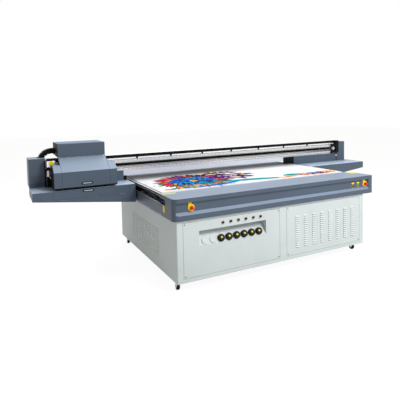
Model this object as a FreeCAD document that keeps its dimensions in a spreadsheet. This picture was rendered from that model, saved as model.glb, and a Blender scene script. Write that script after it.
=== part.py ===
import FreeCAD, Part
import os
import re
import Sketcher

# Flatbed UV printer: a fixed vacuum bed on a steel cabinet, a gantry that travels along the bed and a
# print carriage that travels along the gantry.
#
# Frame: +X runs along the operator's side, left to right; +Y runs from the operator's side to the back;
# +Z is up. X = 0 is the middle of the cabinet, Y = 0 is halfway from the front-most to the rear-most
# point, and Z = 0 is the floor. All sizes are in millimetres.

SIZES = {
    # cabinet and its frame
    "cabinet_width": 2533,
    "cabinet_depth": 1921,
    "cabinet_height": 622,
    "ground_gap": 109,
    "skin": 3,
    "rim_width": 20,
    "tube": 60,
    "corner_round": 12,
    "panel_gap": 2,
    "panel_side": 70,
    "panel_base": 43,
    "panel_height": 553,
    "left_panel_width": 1168,
    "mullion_width": 98,
    "louvre_width": 50,
    "louvre_pitch_across": 122,
    "louvre_pitch_up": 24.5,
    "louvre_slot": 8,
    "louvre_depth": 8,
    "louvre_rise": 8,
    "louvre_margin_across": 87,
    "louvre_margin_up": 100,
    "louvre_shift_across": 15,
    "louvre_shift_up": -15,
    "vent_columns": 8,
    "vent_rows": 9,
    "vent_pitch": 34,
    "vent_slot": 7,
    "vent_width": 70,
    "vent_front": 490,
    "vent_pitch_across": 121,
    "vent_up": 146,
    "screw_inset": 17,
    "screw_head": 6,
    "screw_rise": 3,
    # ink filling bay
    "bay_left": 244,
    "bay_width": 811,
    "bay_base": 346,
    "bay_height": 151,
    "bay_depth": 107,
    "bay_skin": 2,
    "port_left": 319,
    "port_pitch": 93,
    "port_up_slope": 40,
    "neck_bore": 14,
    "neck_outer": 20,
    "neck_rise": 14,
    "neck_fit": 0.5,
    "cap_outer": 38,
    "cap_height": 30,
    "cap_wall": 3,
    "cap_button": 12,
    "blank_outer": 36,
    "blank_height": 8,
    "lamp_radius": 19,
    "lamp_rise": 9,
    "lamp_up": 546,
    "lamp_shift": 13,
    "tank_width": 80,
    "tank_depth": 210,
    "tank_height": 160,
    "tank_setback": 90,
    "tank_drop": 170,
    "neck_length": 130,
    "inlet_in": 500,
    "inlet_up": 240,
    "box_width": 500,
    "box_depth": 400,
    "box_height": 360,
    "blower_foot": 300,
    "blower_radius": 150,
    "gland_radius": 18,
    "gland_bore": 9,
    "gland_depth": 40,
    # casters
    "caster_inset_across": 56,
    "caster_inset_along": 115,
    "wheel_radius": 36,
    "wheel_width": 28,
    "caster_trail": 22,
    "caster_plate": 6,
    "plate_half": 36,
    "caster_head": 12,
    "crown": 3,
    "king_radius": 8,
    "axle_radius": 6,
    "shaft_fit": 0.05,
    "fork_sheet": 4,
    "fork_half": 20,
    "fork_head": 26,
    # table
    "table_seam": 3,
    "front_overhang": 24,
    "rear_overhang": 24,
    "side_overhang": 36,
    "right_overhang": 124,
    "apron_height": 220,
    "apron_depth": 364,
    "apron_round": 60,
    "apron_end_depth": 254,
    "apron_wall": 42,
    "top_sheet": 4,
    "recess_depth": 25,
    "recess_base": 53,
    "ledge_rise": 28,
    "recess_top": 174,
    "recess_end_left": 28,
    "recess_end_right": 50,
    "bed_inset": 2.5,
    "bed_depth": 1340,
    "bed_thick": 40,
    "bearer_inset": 210,
    "edging_width": 14,
    "skirt_height": 124,
    "skirt_lip": 18,
    "skirt_seat": 18,
    "slot_setback": 212,
    "sheet_margin_across": 30,
    "sheet_margin_along": 20,
    "sheet_thick": 8,
    # switches on the front apron
    "legend_radius": 36,
    "legend_thick": 4,
    "legend_up": 118,
    "estop_left_in": 200,
    "estop_right_in": 100,
    "mushroom_radius": 20,
    "mushroom_height": 24,
    "mushroom_collar": 9,
    "button_radius": 13,
    "button_rise": 6,
    "button_up": 106,
    "button_pitch": 86,
    "button_fit": 0.4,
    "switch_well": 12,
    "plate_wide": 40,
    "plate_high": 18,
    # gantry drive along the bed
    "rail_inset": 50,
    "rail_width": 23,
    "rail_height": 20,
    "rail_waist": 3,
    "rail_riser": 60,
    "rail_foot": 40,
    "motor_width": 64,
    "motor_length": 46,
    "block_width": 60,
    "block_length": 90,
    "block_height": 34,
    "slide_fit": 0.3,
    "screw_inset_across": 116,
    "screw_radius": 12.5,
    "screw_end_gap": 90,
    "screw_up": 62,
    "arm_thick": 40,
    "arm_gap": 7,
    # gantry
    "side_reach": 1200,
    "gantry_setback": 1062,
    "tray_gap": 60,
    "tray_depth": 426,
    "tray_thick": 92,
    "tray_taper": 126,
    "tray_skin": 3,
    "door_inset": 216,
    "door_width": 850,
    "guide_radius": 8,
    "knuckle_radius": 4,
    "pin_radius": 2,
    "pull_length": 100,
    "pull_height": 20,
    "pull_rise": 4,
    "door_height": 104,
    "door_gap": 2,
    "leg_width": 150,
    "leg_setback": 138,
    "arm_length": 260,
    "shelf_drop": 14,
    "shelf_gap": 144,
    "shelf_depth": 370,
    "shelf_thick": 95,
    "shelf_taper": 115,
    "leg_drop": 95,
    "shoe_inset": 112,
    "shoe_gap": 14,
    "shoe_rise": 48,
    "pillar_round": 10,
    "pillar_left_width": 183,
    "pillar_right_width": 180,
    "pillar_right_in": 53,
    "pillar_depth": 270,
    "pillar_height": 331,
    "beam_setback": 338,
    "beam_gap": 58,
    "beam_depth": 160,
    "beam_height": 261,
    "beam_wall": 14,
    "groove_depth": 12,
    "fascia_height": 65,
    "fascia_thick": 4,
    "fascia_in": 46,
    "x_rail_width": 20,
    "x_rail_thick": 17,
    "lower_rail_up": 84,
    "upper_rail_up": 189,
    "rail_end_left": 40,
    "rail_end_right": 140,
    "belt_up": 138,
    "belt_width": 24,
    "belt_thick": 3,
    "pulley_radius": 20,
    "pulley_flange": 2,
    "pulley_inset_left": 70,
    "pulley_inset_right": 95,
    "buffer_radius": 22,
    # energy chain behind the beam
    "chain_high": 60,
    "chain_wide": 100,
    "chain_bend_radius": 125,
    "chain_gap": 14,
    "chain_clear": 8,
    "chain_bend_links": 8,
    "chain_in": 84,
    "chain_bracket": 50,
    "chain_fixed_links": 40,
    "link_gap": 6,
    "trough_skin": 3,
    "trough_lip": 30,
    "bracket_pitch": 466,
    "first_bracket": -401,
    "strip_height": 36,
    "bracket_width": 26,
    # carriage
    "carriage_park": 44,
    "wing_width": 80,
    "carriage_core": 538,
    "carriage_gap": 16,
    "front_height": 185,
    "hood_setback": 240,
    "slope_rise": 145,
    "wing_slope_depth": 112,
    "wing_depth": 270,
    "hood_height": 155,
    "hood_depth": 420,
    "cover_skin": 3,
    "lid_gap": 2,
    "hinge_length": 60,
    "hinge_inset": 60,
    "head_wide": 60,
    "head_long": 38,
    "head_high": 95,
    "head_pitch_across": 105,
    "head_pitch_along": 48,
    "plate_thick": 12,
    "lift_rail": 10,
    "lift_rail_length": 180,
    "head_cover_gap": 6,
    "lamp_wide": 44,
    "lamp_long": 190,
    "lamp_high": 60,
    "cap_seat_height": 30,
    "cap_seat_travel": 8,
}

# Named places, each worked out from the sizes above.
PLACES = {
    "cab_left": "-cabinet_width / 2",
    "cab_right": "cabinet_width / 2",
    "estop_reach": "legend_thick + mushroom_height + mushroom_collar - recess_depth",
    "table_depth": "cabinet_depth + front_overhang + rear_overhang",
    "table_front": "(estop_reach - table_depth) / 2",
    "table_rear": "(estop_reach + table_depth) / 2",
    "cab_front": "table_front + front_overhang",
    "cab_rear": "cab_front + cabinet_depth",
    "cab_top": "ground_gap + cabinet_height",
    "table_base": "cab_top + table_seam",
    "table_top": "table_base + apron_height",
    "skirt_left": "cab_left - side_overhang",
    "skirt_right": "cab_right + side_overhang",
    "apron_right": "cab_right + right_overhang",
    "bed_width": "cabinet_width + 2 * side_overhang - 2 * bed_inset",
    "bed_front": "table_front + apron_depth",
    "bed_rear": "bed_front + bed_depth",
    "bed_base": "table_top - bed_thick",
    "bearer_half": "bed_width / 2 - bearer_inset",
    "sheet_width": "bed_width - 2 * sheet_margin_across",
    "sheet_depth": "bed_depth - 2 * sheet_margin_along",
    "shelf_z": "bay_floor - tank_drop",
    "slot_front": "table_front + slot_setback",
    "slot_base": "table_base + skirt_height",
    "recess_face": "table_front + recess_depth",
    "frame_left": "cab_left + 2 * skin",
    "frame_right": "cab_right - 2 * skin",
    "frame_front": "cab_front + 2 * skin",
    "frame_rear": "cab_rear - 2 * skin",
    "panel_floor": "ground_gap + panel_base",
    "right_panel_left": "cab_left + panel_side + left_panel_width + mullion_width",
    "right_panel_width": "cabinet_width - 2 * panel_side - left_panel_width - mullion_width",
    "louvre_span_across": "right_panel_width - 2 * louvre_margin_across - louvre_width",
    "louvre_count_across": "floor(louvre_span_across / louvre_pitch_across) + 1",
    "louvre_count_up": "floor((panel_height - 2 * louvre_margin_up) / louvre_pitch_up) + 1",
    "box_left": "inlet_x - box_width * 0.6",
    "inlet_x": "cab_right - inlet_in",
    "inlet_z": "ground_gap + inlet_up",
    "bay_floor": "ground_gap + bay_base",
    "bay_x": "cab_left + bay_left",
    "rail_up": "cab_top + rail_riser",
    "block_base": "rail_up + 6",
    "arm_base": "slot_base + arm_gap",
    "arm_front": "gantry_front + leg_setback",
    "screw_z": "cab_top + screw_up",
    "gantry_front": "cab_front + gantry_setback",
    "reach_left": "cab_left - side_reach",
    "reach_right": "cab_right + side_reach",
    "tray_right": "cab_left - tray_gap",
    "tray_width": "side_reach - tray_gap",
    "leg_inner": "cabinet_width / 2 + tray_gap + 2 * tray_skin",
    "leg_floor": "arm_base - leg_drop",
    "shelf_floor": "shelf_top - shelf_thick - shelf_taper",
    "shelf_width": "side_reach - shelf_gap",
    "chain_pitch": "chain_bend_radius * 3.14159265 / chain_bend_links",
    "chain_end": "chain_x + 2 * chain_pitch + 0.5",
    "trough_rear": "chain_front + chain_wide + 8",
    "slide_back": "beam_front - 5",
    "slide_front": "beam_front - 30",
    "plate_front": "slide_front - 12",
    "tray_floor": "table_top - tray_thick - tray_taper",
    "door_floor": "table_top - door_height",
    "door_left": "reach_left + door_inset",
    "shelf_left": "cab_right + shelf_gap",
    "shelf_top": "table_top - shelf_drop",
    "beam_left": "reach_left + pillar_left_width",
    "beam_right": "reach_right - pillar_right_in - pillar_right_width",
    "beam_front": "gantry_front + beam_setback",
    "beam_rear": "beam_front + beam_depth",
    "beam_base": "table_top + beam_gap",
    "beam_top": "beam_base + beam_height",
    "fascia_left": "tray_right - fascia_in",
    "end_bracket": "2 * buffer_radius + 2",
    "rail_x": "beam_left + rail_end_left",
    "rail_x_length": "beam_right - beam_left - rail_end_left - rail_end_right",
    "belt_z": "beam_base + belt_up",
    "belt_y": "beam_front - belt_width - 3",
    "pulley_left": "beam_left + pulley_inset_left",
    "pulley_right": "beam_right - pulley_inset_right",
    "chain_front": "beam_rear + chain_gap",
    "chain_z": "chain_base + chain_high / 2 + chain_bend_radius",
    "chain_base": "beam_base + chain_gap + 52",
    "chain_x": "beam_left + chain_in",
    "carriage_left": "beam_left + carriage_park",
    "core_left": "carriage_left + wing_width",
    "core_right": "core_left + carriage_core",
    "carriage_base": "table_top + carriage_gap",
    "lid_top": "carriage_base + front_height",
    "hood_front": "gantry_front + hood_setback",
    "hood_base": "lid_top + slope_rise",
    "hood_rise": "front_height + slope_rise + hood_height",
    "lid_pin_y": "hood_front - knuckle_radius - 0.5",
    "lid_pin_z": "hood_base + knuckle_radius + 1",
}

WORD = re.compile(r"[a-z][a-z_0-9]*")
PLANE_ROLES = {"XY": "XY_Plane", "XZ": "XZ_Plane", "YZ": "YZ_Plane"}
TURNS = {
    "X": FreeCAD.Rotation(FreeCAD.Vector(0, 1, 0), 90),
    "Y": FreeCAD.Rotation(FreeCAD.Vector(1, 0, 0), -90),
    "-Y": FreeCAD.Rotation(FreeCAD.Vector(1, 0, 0), 90),
    "-X": FreeCAD.Rotation(FreeCAD.Vector(0, 1, 0), -90),
    "Z": FreeCAD.Rotation(),
}

DOC = FreeCAD.newDocument("flatbed_uv_printer")
NODES = []


def make_sheet():
    """Put every driving size into its own named cell."""
    sheet = DOC.addObject("Spreadsheet::Sheet", "Size")
    for row, (alias, value) in enumerate(SIZES.items(), start=1):
        sheet.set("A%d" % row, alias)
        sheet.set("B%d" % row, str(value))
        sheet.setAlias("B%d" % row, alias)
    DOC.recompute()


def spell(formula):
    """Write a formula out in sheet cells, working through the named places."""
    def cell(match):
        word = match.group(0)
        if word in PLACES:
            return "(" + spell(PLACES[word]) + ")"
        if word in SIZES:
            return "Size." + word
        return word
    return WORD.sub(cell, str(formula))


def bind(item, path, formula):
    item.setExpression(path, spell(formula))


def seat(item, corner):
    """Bind where an object's own origin lies."""
    for axis, formula in zip("xyz", corner):
        bind(item, "Placement.Base." + axis, formula)
    return item


def node(label, item):
    """Name an object as one of the printer's sub-parts."""
    item.Label = label
    NODES.append(item)
    return item


def block(corner, size, name="Block"):
    """A box from its low corner and its three sizes."""
    item = DOC.addObject("Part::Box", name)
    for side, formula in zip(("Length", "Width", "Height"), size):
        bind(item, side, formula)
    return seat(item, corner)


def rod(start, radius, length, axis="Z", name="Rod"):
    """A cylinder from the centre of its first face, along +X, +Y or +Z."""
    item = DOC.addObject("Part::Cylinder", name)
    bind(item, "Radius", radius)
    bind(item, "Height", length)
    item.Placement = FreeCAD.Placement(FreeCAD.Vector(), TURNS[axis])
    return seat(item, start)


def fuse(*items, name="Fused"):
    item = DOC.addObject("Part::MultiFuse", name)
    item.Shapes = list(items)
    item.Refine = True
    return item


def cut(base, *tools, name="Cut"):
    item = DOC.addObject("Part::Cut", name)
    item.Base = base
    item.Tool = tools[0] if len(tools) == 1 else group(*tools, name="Tools")
    item.Refine = True
    return item


def group(*items, name="Group"):
    item = DOC.addObject("Part::Compound", name)
    item.Links = list(items)
    return item


def origin_plane(body, role):
    for feature in body.Origin.OriginFeatures:
        if feature.Role == role:
            return feature
    raise ValueError(role)


def outline(body, plane, corners, name="Outline"):
    """A closed sketch of straight lines whose corners are bound to formulas in the plane's axes."""
    sketch = body.newObject("Sketcher::SketchObject", name)
    sketch.AttachmentSupport = [(origin_plane(body, PLANE_ROLES[plane]), "")]
    sketch.MapMode = "FlatFace"
    count = len(corners)
    start = [FreeCAD.Vector(100, 0, 0)]
    start = [FreeCAD.Rotation(FreeCAD.Vector(0, 0, 1), 360 * step / count).multVec(start[0])
             for step in range(count)]
    sketch.addGeometry([Part.LineSegment(start[step], start[(step + 1) % count])
                        for step in range(count)])
    joins = [Sketcher.Constraint("Coincident", step, 2, (step + 1) % count, 1)
             for step in range(count)]
    sketch.addConstraint(joins)
    for step, (across, up) in enumerate(corners):
        for kind, letter, formula in (("DistanceX", "x", across), ("DistanceY", "y", up)):
            place = start[step].x if letter == "x" else start[step].y
            index = sketch.addConstraint(Sketcher.Constraint(kind, -1, 1, step, 1, place))
            sketch.renameConstraint(index, "%s%d" % (letter, step))
            bind(sketch, "Constraints.%s%d" % (letter, step), formula)
    return sketch


def prism(plane, corners, depth, corner=("0", "0", "0"), name="Prism"):
    """A body padded from one outline, along +Z, +Y or +X, then moved to its place."""
    body = DOC.addObject("PartDesign::Body", name)
    sketch = outline(body, plane, corners)
    pad = body.newObject("PartDesign::Pad", "Pad")
    pad.Profile = sketch
    pad.Reversed = plane == "XZ"
    bind(pad, "Length", depth)
    return seat(body, corner)


def lathe(corners, corner=("0", "0", "0"), axis="Z", name="Turned"):
    """A body turned about its own Z axis from half of its section, then laid along an axis."""
    body = DOC.addObject("PartDesign::Body", name)
    sketch = outline(body, "XZ", corners, name="HalfSection")
    turned = body.newObject("PartDesign::Revolution", "Revolution")
    turned.Profile = sketch
    turned.ReferenceAxis = (sketch, ["V_Axis"])
    turned.Angle = 360
    body.Placement = FreeCAD.Placement(FreeCAD.Vector(), TURNS[axis])
    return seat(body, corner)


def round_edges(body, radius, chosen, name="Fillet"):
    """Fillet the edges of a body's last feature that a test picks out."""
    DOC.recompute()
    base = body.Tip
    names = ["Edge%d" % (index + 1) for index, edge in enumerate(base.Shape.Edges) if chosen(edge)]
    fillet = body.newObject("PartDesign::Fillet", name)
    fillet.Base = (base, names)
    bind(fillet, "Radius", radius)
    return body


def make_base_frame():
    """Square-tube frame, each bar its own piece butted to the next.

    It has two rings and six posts, floor bars for the blower and the box, the tank shelf, the bed's
    bearers and bars, and a thin upstand that the table's sheets stand on.
    """
    width = "cabinet_width - 4 * skin"
    clear_depth = "cabinet_depth - 4 * skin - 2 * tube"
    clear_height = "cabinet_height - 2 * tube"
    inside = "frame_front + tube"
    middle = "right_panel_left - mullion_width / 2 - tube / 2"
    bars = []
    for level in ("ground_gap", "cab_top - tube"):
        for edge in ("frame_front", "frame_rear - tube"):
            bars.append(block(("frame_left", edge, level), (width, "tube", "tube")))
        for edge in ("frame_left", "frame_right - tube"):
            bars.append(block((edge, inside, level), ("tube", clear_depth, "tube")))
    for across in ("frame_left", middle, "frame_right - tube"):
        for along in ("frame_front", "frame_rear - tube"):
            bars.append(block((across, along, "ground_gap + tube"), ("tube", "tube", clear_height)))
    for across in ("-bearer_half", "bearer_half - tube"):
        bars.append(block((across, inside, "cab_top - tube"), ("tube", clear_depth, "tube")))
    for across in ("-blower_foot / 2", "blower_foot / 2 - tube", "box_left", "box_left + box_width - tube"):
        bars.append(block((across, inside, "ground_gap"), ("tube", clear_depth, "tube")))
    for along in ("frame_front", "frame_rear - tube / 2"):
        bars.append(block(("frame_left", along, "cab_top"), (width, "tube / 2", "table_seam")))
    for across in ("frame_left", "frame_right - skirt_seat"):
        bars.append(block((across, "frame_front + tube / 2", "cab_top"),
                          ("skirt_seat", "cabinet_depth - 4 * skin - tube", "table_seam")))
    for share in (0.1, 0.5, 0.9):
        along = "bed_front + bed_depth * %s - tube / 2" % share
        bars.append(block(("-bearer_half", along, "cab_top"),
                          ("2 * bearer_half", "tube", "bed_base - cab_top - tube")))
    for share in (0, 0.25, 0.5, 0.75, 1):
        across = "-bearer_half + (2 * bearer_half - tube) * %s" % share
        bars.append(block((across, "bed_front + tube", "bed_base - tube"),
                          ("tube", "bed_depth - 2 * tube", "tube")))
    return group(*bars, *tank_shelf(middle), name="Frame")


def tank_shelf(middle):
    """Four bars and a plate between the front posts, level with the ink tanks' bottoms."""
    bar_base = "shelf_z - tube"
    inside = "frame_front + tube"
    length = "tank_setback + tank_depth - tube"
    bars = [block(("frame_left + tube", "frame_front", bar_base),
                  (middle + " - frame_left - tube", "tube", "tube")),
            block(("frame_left", "frame_front + tank_setback + tank_depth", bar_base),
                  (middle + " - frame_left + tube", "tube", "tube"))]
    bars += [block((across, inside, bar_base), ("tube", length, "tube")) for across in ("frame_left", middle)]
    plate = block(("frame_left + tube", inside, "shelf_z - skin"),
                  (middle + " - frame_left - tube", length, "skin"))
    return bars + [plate]


def make_cabinet_shell():
    """Folded steel skin with rounded front corners, panel openings with rims, and side vents."""
    def upright_front(edge):
        box = edge.BoundBox
        return box.ZLength > 10 and box.YMax < 1

    outer = prism("XY", [("0", "0"), ("cabinet_width", "0"), ("cabinet_width", "cabinet_depth"),
                         ("0", "cabinet_depth")], "cabinet_height", ("cab_left", "cab_front", "ground_gap"))
    round_edges(outer, "corner_round", upright_front)
    inside_width = "cabinet_width - 2 * skin"
    inside_depth = "cabinet_depth - 2 * skin"
    inner = prism("XY", [("0", "0"), (inside_width, "0"), (inside_width, inside_depth), ("0", inside_depth)],
                  "cabinet_height", ("cab_left + skin", "cab_front + skin", "ground_gap"))
    round_edges(inner, "corner_round - skin", upright_front)
    skin_only = cut(outer, inner)
    openings = [
        panel_space("cab_left + panel_side", "cab_front", "left_panel_width", "panel_gap"),
        panel_space("right_panel_left", "cab_front", "right_panel_width", "panel_gap"),
        panel_space("cab_left + panel_side", "cab_rear - skin", "cabinet_width - 2 * panel_side",
                    "panel_gap"),
    ]
    slots = []
    for column in range(SIZES["vent_columns"]):
        for row in range(SIZES["vent_rows"]):
            slots.append(block(("cab_left", "cab_front + vent_front + %d * vent_pitch_across" % column,
                                "ground_gap + vent_up + %d * vent_pitch" % row),
                               ("skin", "vent_width", "vent_slot")))
    rims = [
        panel_rim("cab_left + panel_side", "cab_front + skin", "left_panel_width"),
        panel_rim("right_panel_left", "cab_front + skin", "right_panel_width"),
        panel_rim("cab_left + panel_side", "cab_rear - 2 * skin", "cabinet_width - 2 * panel_side"),
    ]
    return fuse(cut(skin_only, *openings, *slots), *rims, name="Skin")


def panel_space(left, front, width, gap):
    """The room that a panel and its gap take in one wall."""
    return block((left + " - " + gap, front, "panel_floor - " + gap),
                 (width + " + 2 * " + gap, "skin", "panel_height + 2 * " + gap))


def panel_rim(left, front, width):
    """The folded rim behind an opening, which a panel rests against."""
    outer = block((left + " - rim_width", front, "panel_floor - rim_width"),
                  (width + " + 2 * rim_width", "skin", "panel_height + 2 * rim_width"))
    inner = block((left + " + rim_width", front, "panel_floor + rim_width"),
                  (width + " - 2 * rim_width", "skin", "panel_height - 2 * rim_width"))
    return cut(outer, inner)


def make_front_panel_left():
    """Flat panel with the window of the ink filling bay."""
    sheet = block(("cab_left + panel_side", "cab_front", "panel_floor"),
                  ("left_panel_width", "skin", "panel_height"))
    window = block(("bay_x", "cab_front", "bay_floor"), ("bay_width", "skin", "bay_height"))
    return cut(sheet, window)


def make_front_panel_right():
    """Panel with rows of pressed louvres: each a slit under a slanted hood that opens downwards."""
    body = prism("XZ", [("0", "0"), ("right_panel_width", "0"), ("right_panel_width", "panel_height"),
                        ("0", "panel_height")], "skin", ("right_panel_left", "cab_front", "panel_floor"))
    DOC.recompute()
    across = ("(right_panel_width - (louvre_count_across - 1) * louvre_pitch_across - louvre_width) / 2"
              " + louvre_shift_across")
    up = ("(panel_height - (louvre_count_up - 1) * louvre_pitch_up) / 2 - louvre_rise"
          " + louvre_shift_up")
    slit = outline(body, "XZ", [
        (across, up + " + 1"), (across + " + louvre_width", up + " + 1"),
        (across + " + louvre_width", up + " + 1 + louvre_slot"), (across, up + " + 1 + louvre_slot"),
    ], name="Slit")
    pocket = body.newObject("PartDesign::Pocket", "SlitPocket")
    pocket.Profile = slit
    bind(pocket, "Length", "skin")
    hood_section = outline(body, "YZ", [
        ("0", up + " + 2 * louvre_rise"), ("-louvre_depth", up), ("-louvre_depth + 1.5", up),
        ("0", up + " + 2 * louvre_rise - 3"),
    ], name="HoodSection")
    hood_section.AttachmentOffset = FreeCAD.Placement()
    bind(hood_section, "AttachmentOffset.Base.z", across)
    hood = body.newObject("PartDesign::Pad", "Hood")
    hood.Profile = hood_section
    bind(hood, "Length", "louvre_width")
    DOC.recompute()
    rows = body.newObject("PartDesign::LinearPattern", "Rows")
    rows.Direction = (slit, ["V_Axis"])
    bind(rows, "Length", "(louvre_count_up - 1) * louvre_pitch_up")
    bind(rows, "Occurrences", "louvre_count_up")
    columns = body.newObject("PartDesign::LinearPattern", "Columns")
    columns.Direction = (slit, ["H_Axis"])
    bind(columns, "Length", "(louvre_count_across - 1) * louvre_pitch_across")
    bind(columns, "Occurrences", "louvre_count_across")
    field = body.newObject("PartDesign::MultiTransform", "LouvreField")
    field.Originals = [pocket, hood]
    field.Transformations = [rows, columns]
    body.Tip = field
    return body


def make_rear_panel():
    """Flat service panel with a block of cooling slits."""
    sheet = block(("cab_left + panel_side", "cab_rear - skin", "panel_floor"),
                  ("cabinet_width - 2 * panel_side", "skin", "panel_height"))
    slits = []
    for column in range(6):
        for row in range(6):
            slits.append(block(("%d * vent_pitch_across - 3 * vent_pitch_across" % column, "cab_rear - skin",
                                "panel_floor + vent_up + %d * vent_pitch" % row),
                               ("vent_width", "skin", "vent_slot")))
    inlet = rod(("inlet_x", "cab_rear - skin", "inlet_z"), "gland_radius", "skin", "Y")
    return cut(sheet, inlet, *slits)


def screw_head(across, along, up, outward):
    """One domed screw head that stands on a panel."""
    start = along if outward > 0 else along + " - screw_rise"
    return rod((across, start, up), "screw_head", "screw_rise", "Y")


def make_panel_screws():
    """The screws at each panel's corners."""
    heads = []
    spans = [
        ("cab_left + panel_side", "left_panel_width", "cab_front", -1),
        ("right_panel_left", "right_panel_width", "cab_front", -1),
        ("cab_left + panel_side", "(cabinet_width - 2 * panel_side)", "cab_rear", 1),
    ]
    for left, width, face, outward in spans:
        for across in (left + " + screw_inset", left + " + " + width + " - screw_inset"):
            for up in ("panel_floor + screw_inset", "panel_floor + panel_height - screw_inset"):
                heads.append(screw_head(across, face, up, outward))
    return group(*heads, name="Screws")


def port_place(number, out="0"):
    """A point on the sloping plate of the filling bay, or out from it along the port's axis."""
    slope = "sqrt(bay_depth ^ 2 + bay_height ^ 2)"
    return (
        "cab_left + port_left + %d * port_pitch" % number,
        "cab_front + skin + (port_up_slope * bay_depth - (%s) * bay_height) / %s" % (out, slope),
        "bay_floor + (port_up_slope * bay_height + (%s) * bay_depth) / %s" % (out, slope),
    )


def lean(item, number, out="0"):
    """Turn an upright piece so that it stands square on the sloping plate."""
    item.Placement = FreeCAD.Placement(FreeCAD.Vector(), FreeCAD.Rotation(FreeCAD.Vector(1, 0, 0), 1))
    seat(item, port_place(number, out))
    bind(item, "Placement.Rotation.Angle", "atan(bay_height / bay_depth)")
    return item


def upright_rod(radius, length):
    item = DOC.addObject("Part::Cylinder", "Rod")
    bind(item, "Radius", radius)
    bind(item, "Height", length)
    return item


def make_ink_bay():
    """Recessed filling bay, open at the front: a sloping port plate, a roof, two side walls, two blanks."""
    front = "cab_front + skin"
    slope = prism("YZ", [("0", "-bay_skin"), ("3 * bay_skin", "-bay_skin"),
                         ("bay_depth + 3 * bay_skin", "bay_height + bay_skin"), ("bay_depth", "bay_height"),
                         ("0", "0")], "bay_width", ("bay_x", front, "bay_floor"))
    roof = prism("YZ", [("0", "bay_height"), ("bay_depth", "bay_height"),
                        ("bay_depth + 3 * bay_skin", "bay_height + bay_skin"),
                        ("0", "bay_height + bay_skin")], "bay_width", ("bay_x", front, "bay_floor"))
    wall_outline = [("0", "-bay_skin"), ("3 * bay_skin", "-bay_skin"),
                    ("bay_depth + 3 * bay_skin", "bay_height + bay_skin"), ("0", "bay_height + bay_skin")]
    walls = [prism("YZ", wall_outline, "bay_skin", (across, front, "bay_floor"))
             for across in ("bay_x - bay_skin", "bay_x + bay_width")]
    holes = [lean(upright_rod("neck_outer + neck_fit", "8 * bay_skin"), number, "-6 * bay_skin")
             for number in range(2, 8)]
    blanks = [lean(upright_rod("blank_outer", "blank_height"), number, "neck_fit / 2") for number in range(2)]
    return group(cut(slope, *holes), roof, *walls, *blanks, name="Bay")


def make_ink_tanks():
    """Six ink tanks on the frame's shelf, each with a filling neck that comes through the bay's plate."""
    tanks = []
    for number in range(2, 8):
        left = "cab_left + port_left + %d * port_pitch - tank_width / 2" % number
        tank = block((left, "cab_front + tank_setback", "shelf_z"),
                     ("tank_width", "tank_depth", "tank_height"))
        neck = lean(upright_rod("neck_outer", "neck_length + neck_rise"), number, "-neck_length")
        bore = lean(upright_rod("neck_bore", "neck_length + neck_rise"), number, "10 - neck_length")
        tanks.append(cut(fuse(tank, neck), bore))
    return group(*tanks, name="Tanks")


def make_ink_cap(number):
    """A screw cap with a knurl-sized rim, a hollow that covers the neck and a coloured button."""
    cap = lathe([("0", "cap_height - cap_wall"), ("neck_outer + neck_fit", "cap_height - cap_wall"),
                 ("neck_outer + neck_fit", "0"), ("cap_outer", "0"), ("cap_outer", "cap_height - cap_wall"),
                 ("cap_outer - cap_wall", "cap_height"), ("cap_button + cap_wall", "cap_height"),
                 ("cap_button", "cap_height - cap_wall / 2"), ("0", "cap_height - cap_wall / 2")])
    return lean(cap, number, "neck_fit")


def make_ink_lamps():
    """Six domed red lamps, one over each port in use."""
    lamps = []
    for number in range(2, 8):
        across = "cab_left + port_left + lamp_shift + %d * port_pitch" % number
        lamps.append(lathe([("0", "0"), ("lamp_radius", "0"), ("lamp_radius", "lamp_rise / 3"),
                            ("lamp_radius * 0.75", "lamp_rise * 0.8"), ("0", "lamp_rise")],
                           (across, "cab_front", "ground_gap + lamp_up"), "-Y"))
    return group(*lamps, name="Lamps")


def make_control_box():
    """Closed electrical box on the frame's floor, with the mains inlet gland through the rear panel."""
    case = block(("box_left", "cab_rear - 2 * skin - tube - box_depth", "ground_gap + tube"),
                 ("box_width", "box_depth", "box_height"))
    stub = rod(("inlet_x", "cab_rear - 2 * skin - tube - 10", "inlet_z"), "gland_radius - neck_fit",
               "tube + 2 * skin + 24", "Y")
    bore = rod(("inlet_x", "cab_rear - gland_depth + 14", "inlet_z"), "gland_bore", "gland_depth", "Y")
    return cut(fuse(case, stub), bore)


def make_vacuum_blower():
    """Side-channel blower under the bed: a round housing on a foot, a motor and a riser to the bed."""
    base = "ground_gap + tube"
    foot = block(("-blower_foot / 2", "-blower_foot / 3", base), ("blower_foot", "blower_foot * 2 / 3", "12"))
    axis_height = base + " + blower_radius + 30"
    housing = rod(("-blower_foot / 5", "0", axis_height), "blower_radius", "blower_foot * 0.4", "X")
    motor = rod(("blower_foot / 5", "0", axis_height), "blower_radius / 2", "blower_foot * 0.5", "X")
    cradle = block(("-blower_foot / 5", "-blower_foot / 5", base + " + 12"),
                   ("blower_foot * 0.6", "blower_foot * 0.4", "blower_radius * 0.7"))
    return fuse(foot, housing, motor, cradle)


CORNERS = {"fl": (-1, -1), "fr": (1, -1), "rl": (-1, 1), "rr": (1, 1)}


def caster_place(corner):
    """Where a caster's king pin meets the floor plan."""
    across, along = CORNERS[corner]
    place_x = "cab_left + caster_inset_across" if across < 0 else "cab_right - caster_inset_across"
    place_y = "cab_front + caster_inset_along" if along < 0 else "cab_rear - caster_inset_along"
    return place_x, place_y


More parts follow.
